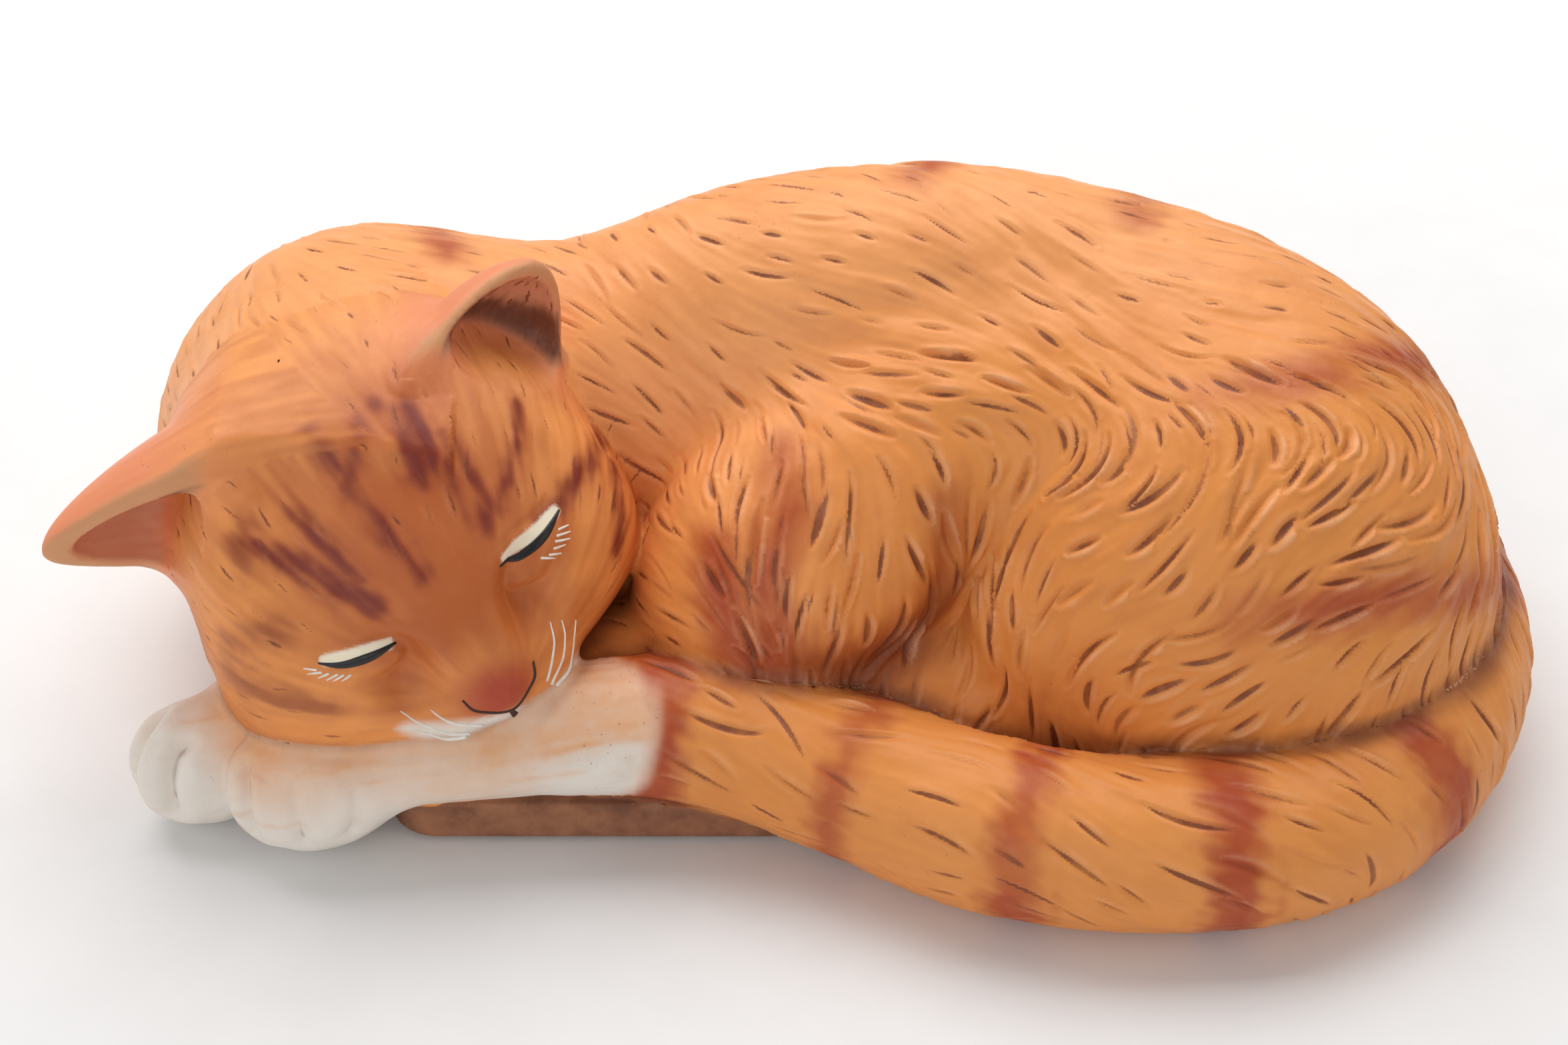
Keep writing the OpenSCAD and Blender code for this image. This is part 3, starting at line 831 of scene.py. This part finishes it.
# ---------------------------------------------------------------- sculpting
def carve(points, normals, part, on_skin):
    """Carves fur, toes and folds. Returns the lift along the normal, and how dark each cut is."""
    lift = np.zeros(len(points))
    cut = np.zeros(len(points))
    worn = np.zeros(len(points))
    p, x, z = points, points[:, 0], points[:, 2]
    flow = fur_flow(p, normals, part)
    q = to_head(p)
    face_gap = np.linalg.norm((q - (0, 32, 22)) / (40, 30, 24), axis=1)
    on_haunch = step_up(x, -30, 10) * (1 - step_up(z + 0.62 * p[:, 1], 84, 112))
    trunk_parts, tail_only, ears = (BODY, SKULL), (TAIL_PART,), (LEFT_EAR, RIGHT_EAR)
    styles = [
        # where, parts cut, spacing, stretch, shortest, longest, half width, depth, darkness, tries
        ((part == BODY) & (on_haunch > rng.random(len(p))) & (z > 16), trunk_parts,
         5.2, 3.0, 9, 24, 0.72, 1.1, 1.0, 50000),
        ((part == BODY) & (on_haunch < rng.random(len(p))) & (z > 16), trunk_parts,
         5.4, 2.8, 6, 17, 0.52, 0.55, 0.85, 30000),
        ((part == TAIL_PART) & (x > -44) & (z > 6), tail_only, 6.4, 3.0, 9, 24, 0.62, 0.7, 1.0, 12000),
        ((part == SKULL) & (face_gap > 1.0), trunk_parts, 4.6, 2.6, 4, 10, 0.42, 0.26, 0.8, 12000),
        ((part == LEFT_EAR) & (ear_inside(p, EAR_LEFT) > 0.6), ears, 2.8, 2.0, 4, 8, 0.42, 0.12, 1.0, 3000),
    ]
    for chosen, parts_cut, spacing, stretch, shortest, longest, half, depth, dark, tries in styles:
        where = np.nonzero(chosen & on_skin)[0]
        picked = where[scatter(p[where], spacing, flow[where], stretch, tries)]
        lengths = shortest + (longest - shortest) * rng.random(len(picked)) ** 1.4
        widths = half * (0.7 + 0.7 * rng.random(len(picked)))
        deep = 0.45 + 0.75 * rng.random(len(picked))
        tint = dark * rng.random(len(picked)) ** 0.8
        path, up, along = trace(p[picked], normals[picked], part[picked], lengths)
        touched = on_skin & np.isin(part, parts_cut)
        if parts_cut is ears:
            touched &= ear_inside(p, EAR_LEFT) > 0.3
        near = np.nonzero(touched)[0]
        share, full, which = distance_to_strokes(p[near], path, up, along, widths, 5.0)
        size = np.abs(share)
        groove = -np.exp(-size ** 2 * 0.8)
        groove += np.where(share > 0, 0.55, 0.15) * np.exp(-((size - 2.3) / 1.2) ** 2)
        lift[near] += depth * deep[which] * groove * full * (size < 8)
        wash = np.clip(1.55 - size, 0, 1) * full * (0.42 + 0.58 * tint[which])
        cut[near] = np.maximum(cut[near], wash)
        # pale paint on the raised lip beside each stroke, stronger on one side: rubbed wear and painted
        # highlight
        ridge = np.where(share > 0, 1.0, 0.3) * np.exp(-((size - 2.2) / 0.8) ** 2) * full * deep[which]
        worn[near] = np.maximum(worn[near], ridge * depth)
    return lift, cut, worn


def fold(gap, half_width):
    return np.exp(-(gap / half_width) ** 2)


# Grooves between the toes: points, half width, depth.
TOES = [([(-149.1, -50.2, 31.6), (-155.3, -53.4, 28.9), (-157.5, -56.3, 24.2), (-157.9, -57.9, 14)],
         2.0, 2.2),
        ([(-157.4, -37.7, 30.4), (-163.4, -45.2, 28.6), (-166.2, -48.5, 24.1), (-167, -50.2, 14)], 1.8, 1.6),
        ([(-133.8, -60.2, 34.4), (-137.7, -60.8, 31.1), (-137.7, -64.3, 27.1), (-137, -66.3, 14)], 1.7, 1.7),
        ([(-108.7, -66.4, 32.4), (-110.3, -68, 27.6), (-112, -68.5, 18)], 1.6, 0.9),
        ([(-124.8, -64.1, 34.4), (-124.7, -69.3, 25.8), (-124, -69.7, 14)], 1.6, 0.8)]


def model_details(points, part):
    """Toes, the lids' folds, the mouth and the folds where the thigh meets the flank."""
    q = to_head(points)
    lift = np.zeros(len(points))
    cut = np.zeros(len(points))
    for toe, half_width, depth in TOES:
        gap, along = polyline_distance(points, curve(toe, 4))
        ends = step_up(along, 0, 0.3)
        on_leg = np.isin(part, LEGS)
        lift -= 1.7 * depth * fold(gap, half_width) * on_leg * ends
        cut = np.maximum(cut, 0.58 * fold(gap, 0.6 * half_width) * on_leg * ends)
        lift += 0.4 * depth * fold(gap - 3 * half_width, 1.6 * half_width) * on_leg * ends
    on_body = part == BODY
    for hollow, half_width in HOLLOWS:
        gap, along = polyline_distance(points, curve(hollow, 4))
        lift -= 1.5 * fold(gap, 0.9 * half_width) * on_body * step_up(along, 0, 0.3)
    gap, along = polyline_distance(points, curve(THIGH_EDGE, 4))
    lift -= 0.8 * fold(gap, 4.0) * on_body * step_up(along, 0, 0.15) * (1 - step_up(along, 0.5, 0.9))
    on_head = part == SKULL
    for lid in (LID_RIGHT, LID_LEFT):
        gap, _ = polyline_distance(q, np.array(lid) + (0, -3.2, 1.0))
        lift -= 0.5 * fold(gap, 1.0) * on_head
    mouth = [(-15, 47.5, 8), (-6, 53, 9), (0, 53.8, 12), (6, 54, 9), (15, 50, 4)]
    gap, _ = polyline_distance(q, mouth)
    lift -= 0.6 * fold(gap, 0.9) * on_head
    cut = np.maximum(cut, 0.4 * fold(gap, 0.9) * on_head)
    return lift, cut


# ---------------------------------------------------------------- materials
class Painter:
    """Builds one procedural material."""

    def __init__(self, name):
        self.material = bpy.data.materials.new(name)
        self.material.use_nodes = True
        self.tree = self.material.node_tree
        self.tree.nodes.clear()
        self.output = self.tree.nodes.new("ShaderNodeOutputMaterial")
        self.shader = self.tree.nodes.new("ShaderNodeBsdfPrincipled")
        self.tree.links.new(self.shader.outputs[0], self.output.inputs[0])
        self.place = self.tree.nodes.new("ShaderNodeTexCoord").outputs["Object"]

    def put(self, socket, value):
        if isinstance(value, bpy.types.NodeSocket):
            self.tree.links.new(value, socket)
        elif isinstance(value, tuple) and len(value) == 3 and len(socket.default_value) == 4:
            socket.default_value = (*value, 1.0)
        else:
            socket.default_value = value

    def node(self, kind, **settings):
        n = self.tree.nodes.new(kind)
        for key, value in settings.items():
            setattr(n, key, value)
        return n

    def attribute(self, name):
        return self.node("ShaderNodeAttribute", attribute_name=name).outputs["Fac"]

    def math(self, operation, a, b=0.0):
        n = self.node("ShaderNodeMath", operation=operation)
        self.put(n.inputs[0], a)
        self.put(n.inputs[1], b)
        return n.outputs[0]

    def noise(self, scale, detail=3.0, roughness=0.5):
        n = self.node("ShaderNodeTexNoise")
        self.put(n.inputs["Vector"], self.place)
        for key, value in (("Scale", scale), ("Detail", detail), ("Roughness", roughness)):
            n.inputs[key].default_value = value
        return n.outputs["Fac"]

    def cells(self, scale):
        n = self.node("ShaderNodeTexVoronoi")
        self.put(n.inputs["Vector"], self.place)
        n.inputs["Scale"].default_value = scale
        return n.outputs["Distance"]

    def between(self, value, low, high, to_low=0.0, to_high=1.0):
        n = self.node("ShaderNodeMapRange", interpolation_type="SMOOTHSTEP")
        for i, v in enumerate((value, low, high, to_low, to_high)):
            self.put(n.inputs[i], v)
        return n.outputs[0]

    def mix(self, amount, a, b):
        n = self.node("ShaderNodeMix", data_type="RGBA")
        self.put(n.inputs[0], amount)
        self.put(n.inputs[6], a)
        self.put(n.inputs[7], b)
        return n.outputs[2]

    def finish(self, color, rough, height, strength, distance, **constants):
        self.put(self.shader.inputs["Base Color"], color)
        self.put(self.shader.inputs["Roughness"], rough)
        bump = self.node("ShaderNodeBump")
        self.put(bump.inputs["Height"], height)
        bump.inputs["Strength"].default_value = strength
        bump.inputs["Distance"].default_value = distance
        self.put(self.shader.inputs["Normal"], bump.outputs[0])
        for key, value in constants.items():
            self.put(self.shader.inputs[key.replace("_", " ")], value)
        return self.material


ORANGE = (0.86, 0.31, 0.078)
# painted light from above, mixed with the paler paint on the top and back
PALE_TOP_LIGHT = (0.93, 0.385, 0.13)
OCHRE = (0.77, 0.28, 0.058)
RUST = (0.42, 0.060, 0.016)
PLUM = (0.21, 0.028, 0.015)
UMBER = (0.44, 0.088, 0.019)
# painted shade in the creases by the thigh
HOLLOW_SHADE = (0.34, 0.060, 0.014)
HALO = (0.38, 0.065, 0.018)
CREAM = (0.85, 0.785, 0.71)
PEACH = (0.80, 0.36, 0.13)
BLUSH = (0.82, 0.27, 0.14)
EAR_PINK = (0.72, 0.30, 0.17)
# painted shade deep in the ear cups
EAR_PIT_SHADE = (0.17, 0.055, 0.030)
WORN_RIM = (0.62, 0.32, 0.15)
NOSE_RED = (0.46, 0.065, 0.028)
# painted shade in the valleys and where the parts touch
VALLEY_SHADE = (0.19, 0.045, 0.018)
HAIR_BROWN = (0.52, 0.15, 0.035)
SUNLIT = (0.94, 0.42, 0.14)
BURNT = (0.62, 0.19, 0.05)
SOILED = (0.64, 0.47, 0.31)
LID_CREAM = (0.93, 0.82, 0.62)
CUT_BROWN = (0.22, 0.055, 0.022)
# rubbed wear and painted highlight on the lips of the strokes
RUBBED_HIGHLIGHT = (0.95, 0.56, 0.34)
SPECK_BROWN = (0.25, 0.09, 0.04)
BASE_BROWN = (0.40, 0.17, 0.085)
BASE_DARK = (0.20, 0.08, 0.045)
BASE_PALE = (0.45, 0.24, 0.14)
FELT_DARK = (0.035, 0.032, 0.030)
FELT_PALE = (0.12, 0.11, 0.10)


def bisque(name):
    """Matt painted ceramic. The masks on the mesh say where each paint is."""
    m = Painter(name)
    mottle = m.noise(55, 5, 0.6)
    cloud = m.noise(14, 3, 0.5)
    grain = m.noise(900, 2, 0.6)
    hair = m.attribute("hair")
    soil = m.between(m.noise(38, 5, 0.65), 0.45, 0.8, 0.0, 0.5)
    brush = m.between(mottle, 0.2, 0.7, 0.75, 1.0)
    strands = m.between(hair, -1.0, 0.8, 0.55, 1.0)
    speck = m.between(m.cells(420), 0.06, 0.16, 1.0, 0.0)
    speck = m.math("MULTIPLY", speck, m.between(m.noise(30), 0.56, 0.72))
    wash = m.between(m.attribute("cut"), 0.35, 0.75)
    layers = [
        # what says where the paint is, how strong it is there, and its colour
        # painted light from above on the top and back, with the paler paint there
        ("top_paint_and_light", 1.0, PALE_TOP_LIGHT),
        ("ochre", 0.85, OCHRE),
        ("umber", 0.85, UMBER),
        (m.between(hair, -0.9, 1.1, 0.0, 0.20), 1.0, HAIR_BROWN),
        (m.between(cloud, 0.40, 0.72, 0.0, 0.20), 1.0, SUNLIT),
        (m.between(mottle, 0.45, 0.8, 0.0, 0.28), 1.0, BURNT),
        ("blush", 0.8, BLUSH),
        # painted shade in the creases by the thigh
        ("hollow_shade", 0.8, HOLLOW_SHADE),
        ("rust", brush, RUST),
        ("halo", 1.0, HALO),
        ("plum", strands, PLUM),
        ("nose", 1.0, NOSE_RED),
        ("cream", 1.0, m.mix(soil, CREAM, SOILED)),
        ("lid", 1.0, LID_CREAM),
        ("peach", m.between(mottle, 0.3, 0.7, 0.55, 0.9), PEACH),
        ("inner", 1.0, EAR_PINK),
        # painted shade deep in the ear cups
        ("pit", m.between(mottle, 0.25, 0.6, 0.7, 1.0), EAR_PIT_SHADE),
        ("rim", 0.8, WORN_RIM),
        # painted shade in the valleys and where the parts touch
        ("dust", m.between(mottle, 0.3, 0.65, 0.45, 0.9), VALLEY_SHADE),
        (wash, m.between(m.noise(120, 3), 0.3, 0.6, 0.5, 0.92), CUT_BROWN),
        # rubbed wear and painted highlight on the lips of the strokes
        ("worn", m.between(m.noise(90, 3), 0.35, 0.65, 0.0, 0.40), RUBBED_HIGHLIGHT),
        (speck, 0.5, SPECK_BROWN),
    ]
    color = ORANGE
    for mask, strength, paint in layers:
        mask = m.attribute(mask) if isinstance(mask, str) else mask
        color = m.mix(m.math("MULTIPLY", mask, strength), color, paint)
    rough = m.between(m.math("ADD", mottle, m.math("MULTIPLY", grain, 0.5)), 0.5, 1.2, 0.40, 0.62)
    height = m.math("ADD", m.math("MULTIPLY", grain, 0.35), m.math("MULTIPLY", hair, 0.6))
    height = m.math("ADD", height, m.math("MULTIPLY", mottle, 0.5))
    return m.finish(color, rough, height, 0.35, 0.0004, Specular_IOR_Level=0.34)


def base_bisque():
    m = Painter("base_bisque")
    mottle, grain = m.noise(70, 5, 0.6), m.noise(700, 3, 0.6)
    color = m.mix(m.between(mottle, 0.3, 0.7), BASE_BROWN, BASE_DARK)
    color = m.mix(m.between(grain, 0.5, 0.8, 0, 0.3), color, BASE_PALE)
    height = m.math("ADD", m.math("MULTIPLY", grain, 0.4), mottle)
    rough = m.between(mottle, 0.3, 0.7, 0.6, 0.8)
    return m.finish(color, rough, height, 0.35, 0.0004, Specular_IOR_Level=0.3)


def felt():
    m = Painter("felt")
    fibres, clumps = m.noise(1500, 4, 0.7), m.noise(260, 3, 0.6)
    color = m.mix(m.between(fibres, 0.3, 0.7), FELT_DARK, FELT_PALE)
    height = m.math("ADD", fibres, m.math("MULTIPLY", clumps, 0.6))
    return m.finish(color, m.between(clumps, 0.3, 0.7, 0.85, 1.0), height, 0.8, 0.0005, Sheen_Weight=0.3)


def line_paint(name, dark, light, rough):
    m = Painter(name)
    streaks, grain = m.noise(400, 4, 0.6), m.noise(1600, 2, 0.5)
    color = m.mix(m.between(streaks, 0.3, 0.75), dark, light)
    height = m.math("ADD", streaks, m.math("MULTIPLY", grain, 0.5))
    return m.finish(color, m.between(grain, 0.3, 0.7, rough, rough + 0.15), height, 0.25, 0.0002,
                    Specular_IOR_Level=0.45)


# ---------------------------------------------------------------- making the pieces
def new_object(name, vertices, faces, material, slot, *nodes):
    """A mesh object in metres from millimetre vertices, riding on the cat and standing for nodes."""
    mesh = bpy.data.meshes.new(name)
    faces = faces if isinstance(faces, list) else faces.tolist()
    mesh.from_pydata((np.asarray(vertices) * MM).tolist(), [], faces)
    mesh.materials.append(material)
    mesh.shade_smooth()
    obj = bpy.data.objects.new(name, mesh)
    bpy.context.scene.collection.objects.link(obj)
    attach(obj, "root")
    if nodes:
        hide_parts(*nodes)
    return obj


def main_island(faces, count):
    """Which faces belong to the biggest connected piece of a mesh."""
    label = np.arange(count)
    while True:
        lowest = label[faces].min(axis=1)
        merged = label.copy()
        np.minimum.at(merged, faces.ravel(), np.repeat(lowest, 4))
        merged = merged[merged]
        if (merged == label).all():
            break
        label = merged
    names, sizes = np.unique(label[faces[:, 0]], return_counts=True)
    return label[faces[:, 0]] == names[sizes.argmax()]


def part_object(name, index, skin, normals, attributes, material, slot, node):
    points, quads, inside, outside, on_skin = skin
    mine, theirs = inside == index + 1, outside == index + 1
    faces = np.concatenate([quads[mine], quads[theirs][:, ::-1]])
    wall = np.concatenate([outside[mine] > 0, np.ones(theirs.sum(), bool)])
    kept = main_island(faces, len(points))
    faces, wall = faces[kept], wall[kept]
    used, back = np.unique(faces, return_inverse=True)
    faces = back.reshape(faces.shape)
    obj = new_object(name, points[used], faces, material, slot, node)
    mesh = obj.data
    for key, values in attributes.items():
        mesh.attributes.new(key, "FLOAT", "POINT").data.foreach_set("value", values[used].astype(np.float32))
    local = points[used]
    across = local[faces[:, 2]] - local[faces[:, 0]]
    flat = unit(np.cross(across, local[faces[:, 3]] - local[faces[:, 1]]))
    loops = np.where(wall[:, None, None], flat[:, None, :], normals[used][faces])
    mesh.normals_split_custom_set(loops.reshape(-1, 3).tolist())
    return obj


def ribbon(name, points, widths, lift, material, slot):
    """A thin raised line of paint that follows the surface through points in head axes."""
    steps = 8
    line = curve(from_head(points), steps)
    width = curve(np.asarray(widths, float)[:, None], steps)[:, 0]
    line, normal = settle(line, 3)
    forward = unit(np.gradient(line, axis=0))
    side = unit(np.cross(normal, forward))
    across = np.array([-1.0, -0.6, -0.2, 0.2, 0.6, 1.0])
    rows = line[:, None, :] + side[:, None, :] * (across[None, :] * width[:, None] / 2)[:, :, None]
    flat, flat_normal = settle(rows.reshape(-1, 3), 2)
    rise = lift * (1 - 0.75 * across ** 2)
    top = flat + flat_normal * np.tile(rise, len(line))[:, None]
    under = flat - flat_normal * 0.5
    n, m = len(line), len(across)
    faces = []
    for i in range(n - 1):
        for j in range(m - 1):
            a = i * m + j
            faces.append((a, a + 1, a + m + 1, a + m))
            a += n * m
            faces.append((a + m, a + m + 1, a + 1, a))
        for j, flip in ((0, False), (m - 1, True)):
            a = i * m + j
            face = (a, a + m, a + m + n * m, a + n * m)
            faces.append(face[::-1] if flip else face)
    for i, flip in ((0, True), (n - 1, False)):
        for j in range(m - 1):
            a = i * m + j
            face = (a, a + 1, a + 1 + n * m, a + n * m)
            faces.append(face[::-1] if flip else face)
    return new_object(name, np.vstack([top, under]), [f[::-1] for f in faces], material, slot)


def pad(name, centre, material):
    """A pressed felt disc with a soft edge."""
    sides, rows = 48, []
    profile = [(0.0, 0.0), (0.5, 0.0), (0.9, 0.0), (0.975, 0.18), (1.0, 0.45), (0.985, 0.8), (0.95, 1.0),
               (0.6, 1.0), (0.0, 1.0)]
    for share, height in profile:
        for k in range(sides):
            a = 2 * np.pi * k / sides
            r = PAD_RADIUS * share
            rows.append((centre[0] + r * np.cos(a), centre[1] + r * np.sin(a), UNDERSIDE * height))
    vertices = np.array(rows)
    fuzz = noise(vertices, 1.6, 21) * 0.12
    edge = np.repeat([0.2 < h < 0.9 for _, h in profile], sides)
    outward = unit(np.c_[vertices[:, 0] - centre[0], vertices[:, 1] - centre[1], np.zeros(len(vertices))])
    vertices = vertices - outward * (np.abs(fuzz) * edge)[:, None]
    keep = [0] + list(range(sides, sides * (len(profile) - 1))) + [sides * (len(profile) - 1)]
    number = {old: new for new, old in enumerate(keep)}
    faces = []
    for r in range(1, len(profile) - 2):
        for k in range(sides):
            a, b = r * sides + k, r * sides + (k + 1) % sides
            faces.append((number[a], number[b], number[b + sides], number[a + sides]))
    last = sides * (len(profile) - 1)
    for k in range(sides):
        faces.append((number[0], number[sides + (k + 1) % sides], number[sides + k]))
        top = sides * (len(profile) - 2)
        faces.append((number[last], number[top + k], number[top + (k + 1) % sides]))
    return new_object(name, vertices[keep], faces, material, "felt", "felt_pads")


# ---------------------------------------------------------------- build
skin = build_skin()
points, quads, inside, outside, on_skin = skin
outer_quads = quads[outside == 0]
normals = vertex_normals(points, outer_quads)
field_parts = np.full((len(PARTS), len(points)), FAR)
field_parts[:, on_skin] = forms(points[on_skin])[1]
part = field_parts.argmin(axis=0)

lift, cut, worn = carve(points, normals, part, on_skin)
more_lift, more_cut = model_details(points, part)
hair = np.zeros(len(points))
locks = np.zeros(len(points))
hair[on_skin] = combed_noise(points[on_skin], normals[on_skin], part[on_skin], 1.8, 9.0, 3)
locks[on_skin] = combed_noise(points[on_skin], normals[on_skin], part[on_skin], 5.5, 16.0, 4)
furry = np.array(FURRY)[part]
haunch_share = step_up(points[:, 0], -30, 10)
furry = furry * np.where(part == BODY, 0.3 + 0.7 * haunch_share, 1.0)
calm = 1 - step_up(np.linalg.norm((to_head(points) - (0, 34, 20)) / (44, 30, 26), axis=1), 0.75, 1.2)
furry = furry * (1 - 0.8 * calm * (part == SKULL))
lift = lift + more_lift + 0.54 * locks * furry + 0.12 * hair * furry
above_floor = step_up(points[:, 2], UNDERSIDE + 0.3, UNDERSIDE + 4)
lift = np.where(on_skin, lift, 0) * above_floor
masks = paint_masks(points, part, field_parts, hair, 0.6 * hair + 0.5 * noise(points, 4, 8))
masks["hair"] = hair
masks["cut"] = np.maximum(cut, more_cut)
masks["worn"] = worn
points = points + normals * lift[:, None]
skin = (points, quads, inside, outside, on_skin)
normals = vertex_normals(points, outer_quads)

painted, white, ear_paint = bisque("painted_bisque"), bisque("white_bisque"), bisque("ear_bisque")
SLOTS = {"base": ("base_bisque", base_bisque()), "body": ("painted_bisque", painted),
         "head": ("painted_bisque", painted), "tail": ("painted_bisque", painted),
         "ear_left": ("ear_bisque", ear_paint), "ear_right": ("ear_bisque", ear_paint),
         "foreleg_outer": ("white_bisque", white), "foreleg_inner": ("white_bisque", white)}
for index, name in enumerate(PARTS):
    slot, material = SLOTS[name]
    part_object(name + "_shell", index, skin, normals, masks, material, slot, name)

black = line_paint("eye_line_paint", (0.006, 0.006, 0.008), (0.02, 0.018, 0.018), 0.3)
white_line = line_paint("whisker_paint", (0.80, 0.74, 0.66), (0.92, 0.90, 0.86), 0.5)
brown_line = line_paint("nose_line_paint", (0.035, 0.012, 0.008), (0.07, 0.022, 0.014), 0.45)
EYE_WIDTHS_RIGHT = (0.5, 1.7, 2.3, 0.6)
EYE_WIDTHS_LEFT = (0.5, 1.9, 2.2, 0.6)
LASH_WIDTHS = (0.6, 0.55, 0.3)
WHISKER_WIDTHS = (0.9, 0.8, 0.3)
NOSE_LINE_WIDTHS = (0.5, 0.9, 1.1, 1.2, 1.2, 1.1, 0.9, 0.5)
ribbon("eye_line_right", EYE_RIGHT, EYE_WIDTHS_RIGHT, 0.3, black, "painted_bisque")
ribbon("eye_line_left", EYE_LEFT, EYE_WIDTHS_LEFT, 0.3, black, "painted_bisque")
for side, lashes in (("right", LASHES_RIGHT), ("left", LASHES_LEFT)):
    for k, (start, end) in enumerate(lashes):
        middle = tuple((np.array(start) + np.array(end)) / 2)
        ribbon("lash_%s_%d" % (side, k + 1), [start, middle, end], LASH_WIDTHS, 0.28, white_line,
               "painted_bisque")
for k, whisker in enumerate(WHISKERS):
    ribbon("whisker_%d" % (k + 1), whisker, WHISKER_WIDTHS, 0.26, white_line, "painted_bisque")
ribbon("nose_line", NOSE_LINE, NOSE_LINE_WIDTHS, 0.42, brown_line, "painted_bisque")
ribbon("nose_drop", NOSE_DROP, (1.0, 1.7), 0.42, brown_line, "painted_bisque")

felt_material = felt()
for k, centre in enumerate(PADS):
    pad("felt_pad_%d" % (k + 1), centre, felt_material)


# ---------------------------------------------------------------- floor, light and camera
def floor_and_backdrop():
    """A pale sweep: floor that curves up behind the cat."""
    half, front, back, bend, height, steps = 3.0, -3.0, 2.2, 1.0, 2.5, 16
    profile = [(front, 0.0), (back, 0.0)]
    profile += [(back + bend * np.sin(a), bend * (1 - np.cos(a)))
                for a in np.linspace(0, np.pi / 2, steps)[1:]]
    profile.append((back + bend, height))
    vertices = [(sx * half, y, z) for y, z in profile for sx in (-1, 1)]
    faces = [(2 * i, 2 * i + 1, 2 * i + 3, 2 * i + 2) for i in range(len(profile) - 1)]
    mesh = bpy.data.meshes.new("floor")
    mesh.from_pydata(vertices, [], faces)
    mesh.shade_smooth()
    paper = Painter("paper")
    tone = paper.noise(40, 3)
    color = paper.mix(paper.between(tone, 0.3, 0.7), (0.86, 0.858, 0.855), (0.885, 0.883, 0.88))
    mesh.materials.append(paper.finish(color, paper.between(tone, 0.3, 0.7, 0.7, 0.85), tone, 0.05, 0.0003))
    obj = bpy.data.objects.new("floor", mesh)
    bpy.context.scene.collection.objects.link(obj)


def area_light(name, place, target, size, power):
    light = bpy.data.lights.new(name, "AREA")
    light.shape = "RECTANGLE"
    light.size, light.size_y = size
    light.energy = power
    obj = bpy.data.objects.new(name, light)
    obj.location = place
    obj.rotation_euler = (Vector(target) - Vector(place)).to_track_quat("-Z", "Y").to_euler()
    bpy.context.scene.collection.objects.link(obj)


floor_and_backdrop()
# Name, place, target and size in metres, and power in watts.
LIGHTS = [("overhead", (-0.1, 0.75, 1.35), (0, 0, 0), (2.2, 1.4), 26.5),
          ("front_fill", (-0.6, -1.7, 1.0), (0, 0, 0.05), (1.9, 1.3), 10.5),
          ("left_fill", (-1.6, -0.2, 1.0), (0, 0, 0.05), (1.0, 1.0), 1.8),
          ("right_fill", (1.5, -0.5, 0.8), (0, 0, 0.05), (1.0, 1.0), 2.4)]
for light in LIGHTS:
    area_light(*light)

world = bpy.data.worlds.new("studio")
world.use_nodes = True
world.node_tree.nodes["Background"].inputs[0].default_value = (1.0, 0.995, 0.99, 1)
world.node_tree.nodes["Background"].inputs[1].default_value = 0.29
bpy.context.scene.world = world
bpy.context.scene.view_settings.view_transform = "Standard"

CAMERA_ELEVATION = np.radians(40)
CAMERA_DISTANCE = 780.0
CAMERA_TARGET = np.array([-8.0, 14.0, 45.0])
lens = bpy.data.cameras.new("camera")
lens.lens, lens.sensor_width = 70.0, 36.0
lens.clip_end = 20.0
camera = bpy.data.objects.new("camera", lens)
away = np.array([0.0, -np.cos(CAMERA_ELEVATION), np.sin(CAMERA_ELEVATION)])
camera.location = (CAMERA_TARGET + CAMERA_DISTANCE * away) * MM
camera.rotation_euler = Vector(-away).to_track_quat("-Z", "Y").to_euler()
bpy.context.scene.collection.objects.link(camera)
bpy.context.scene.camera = camera
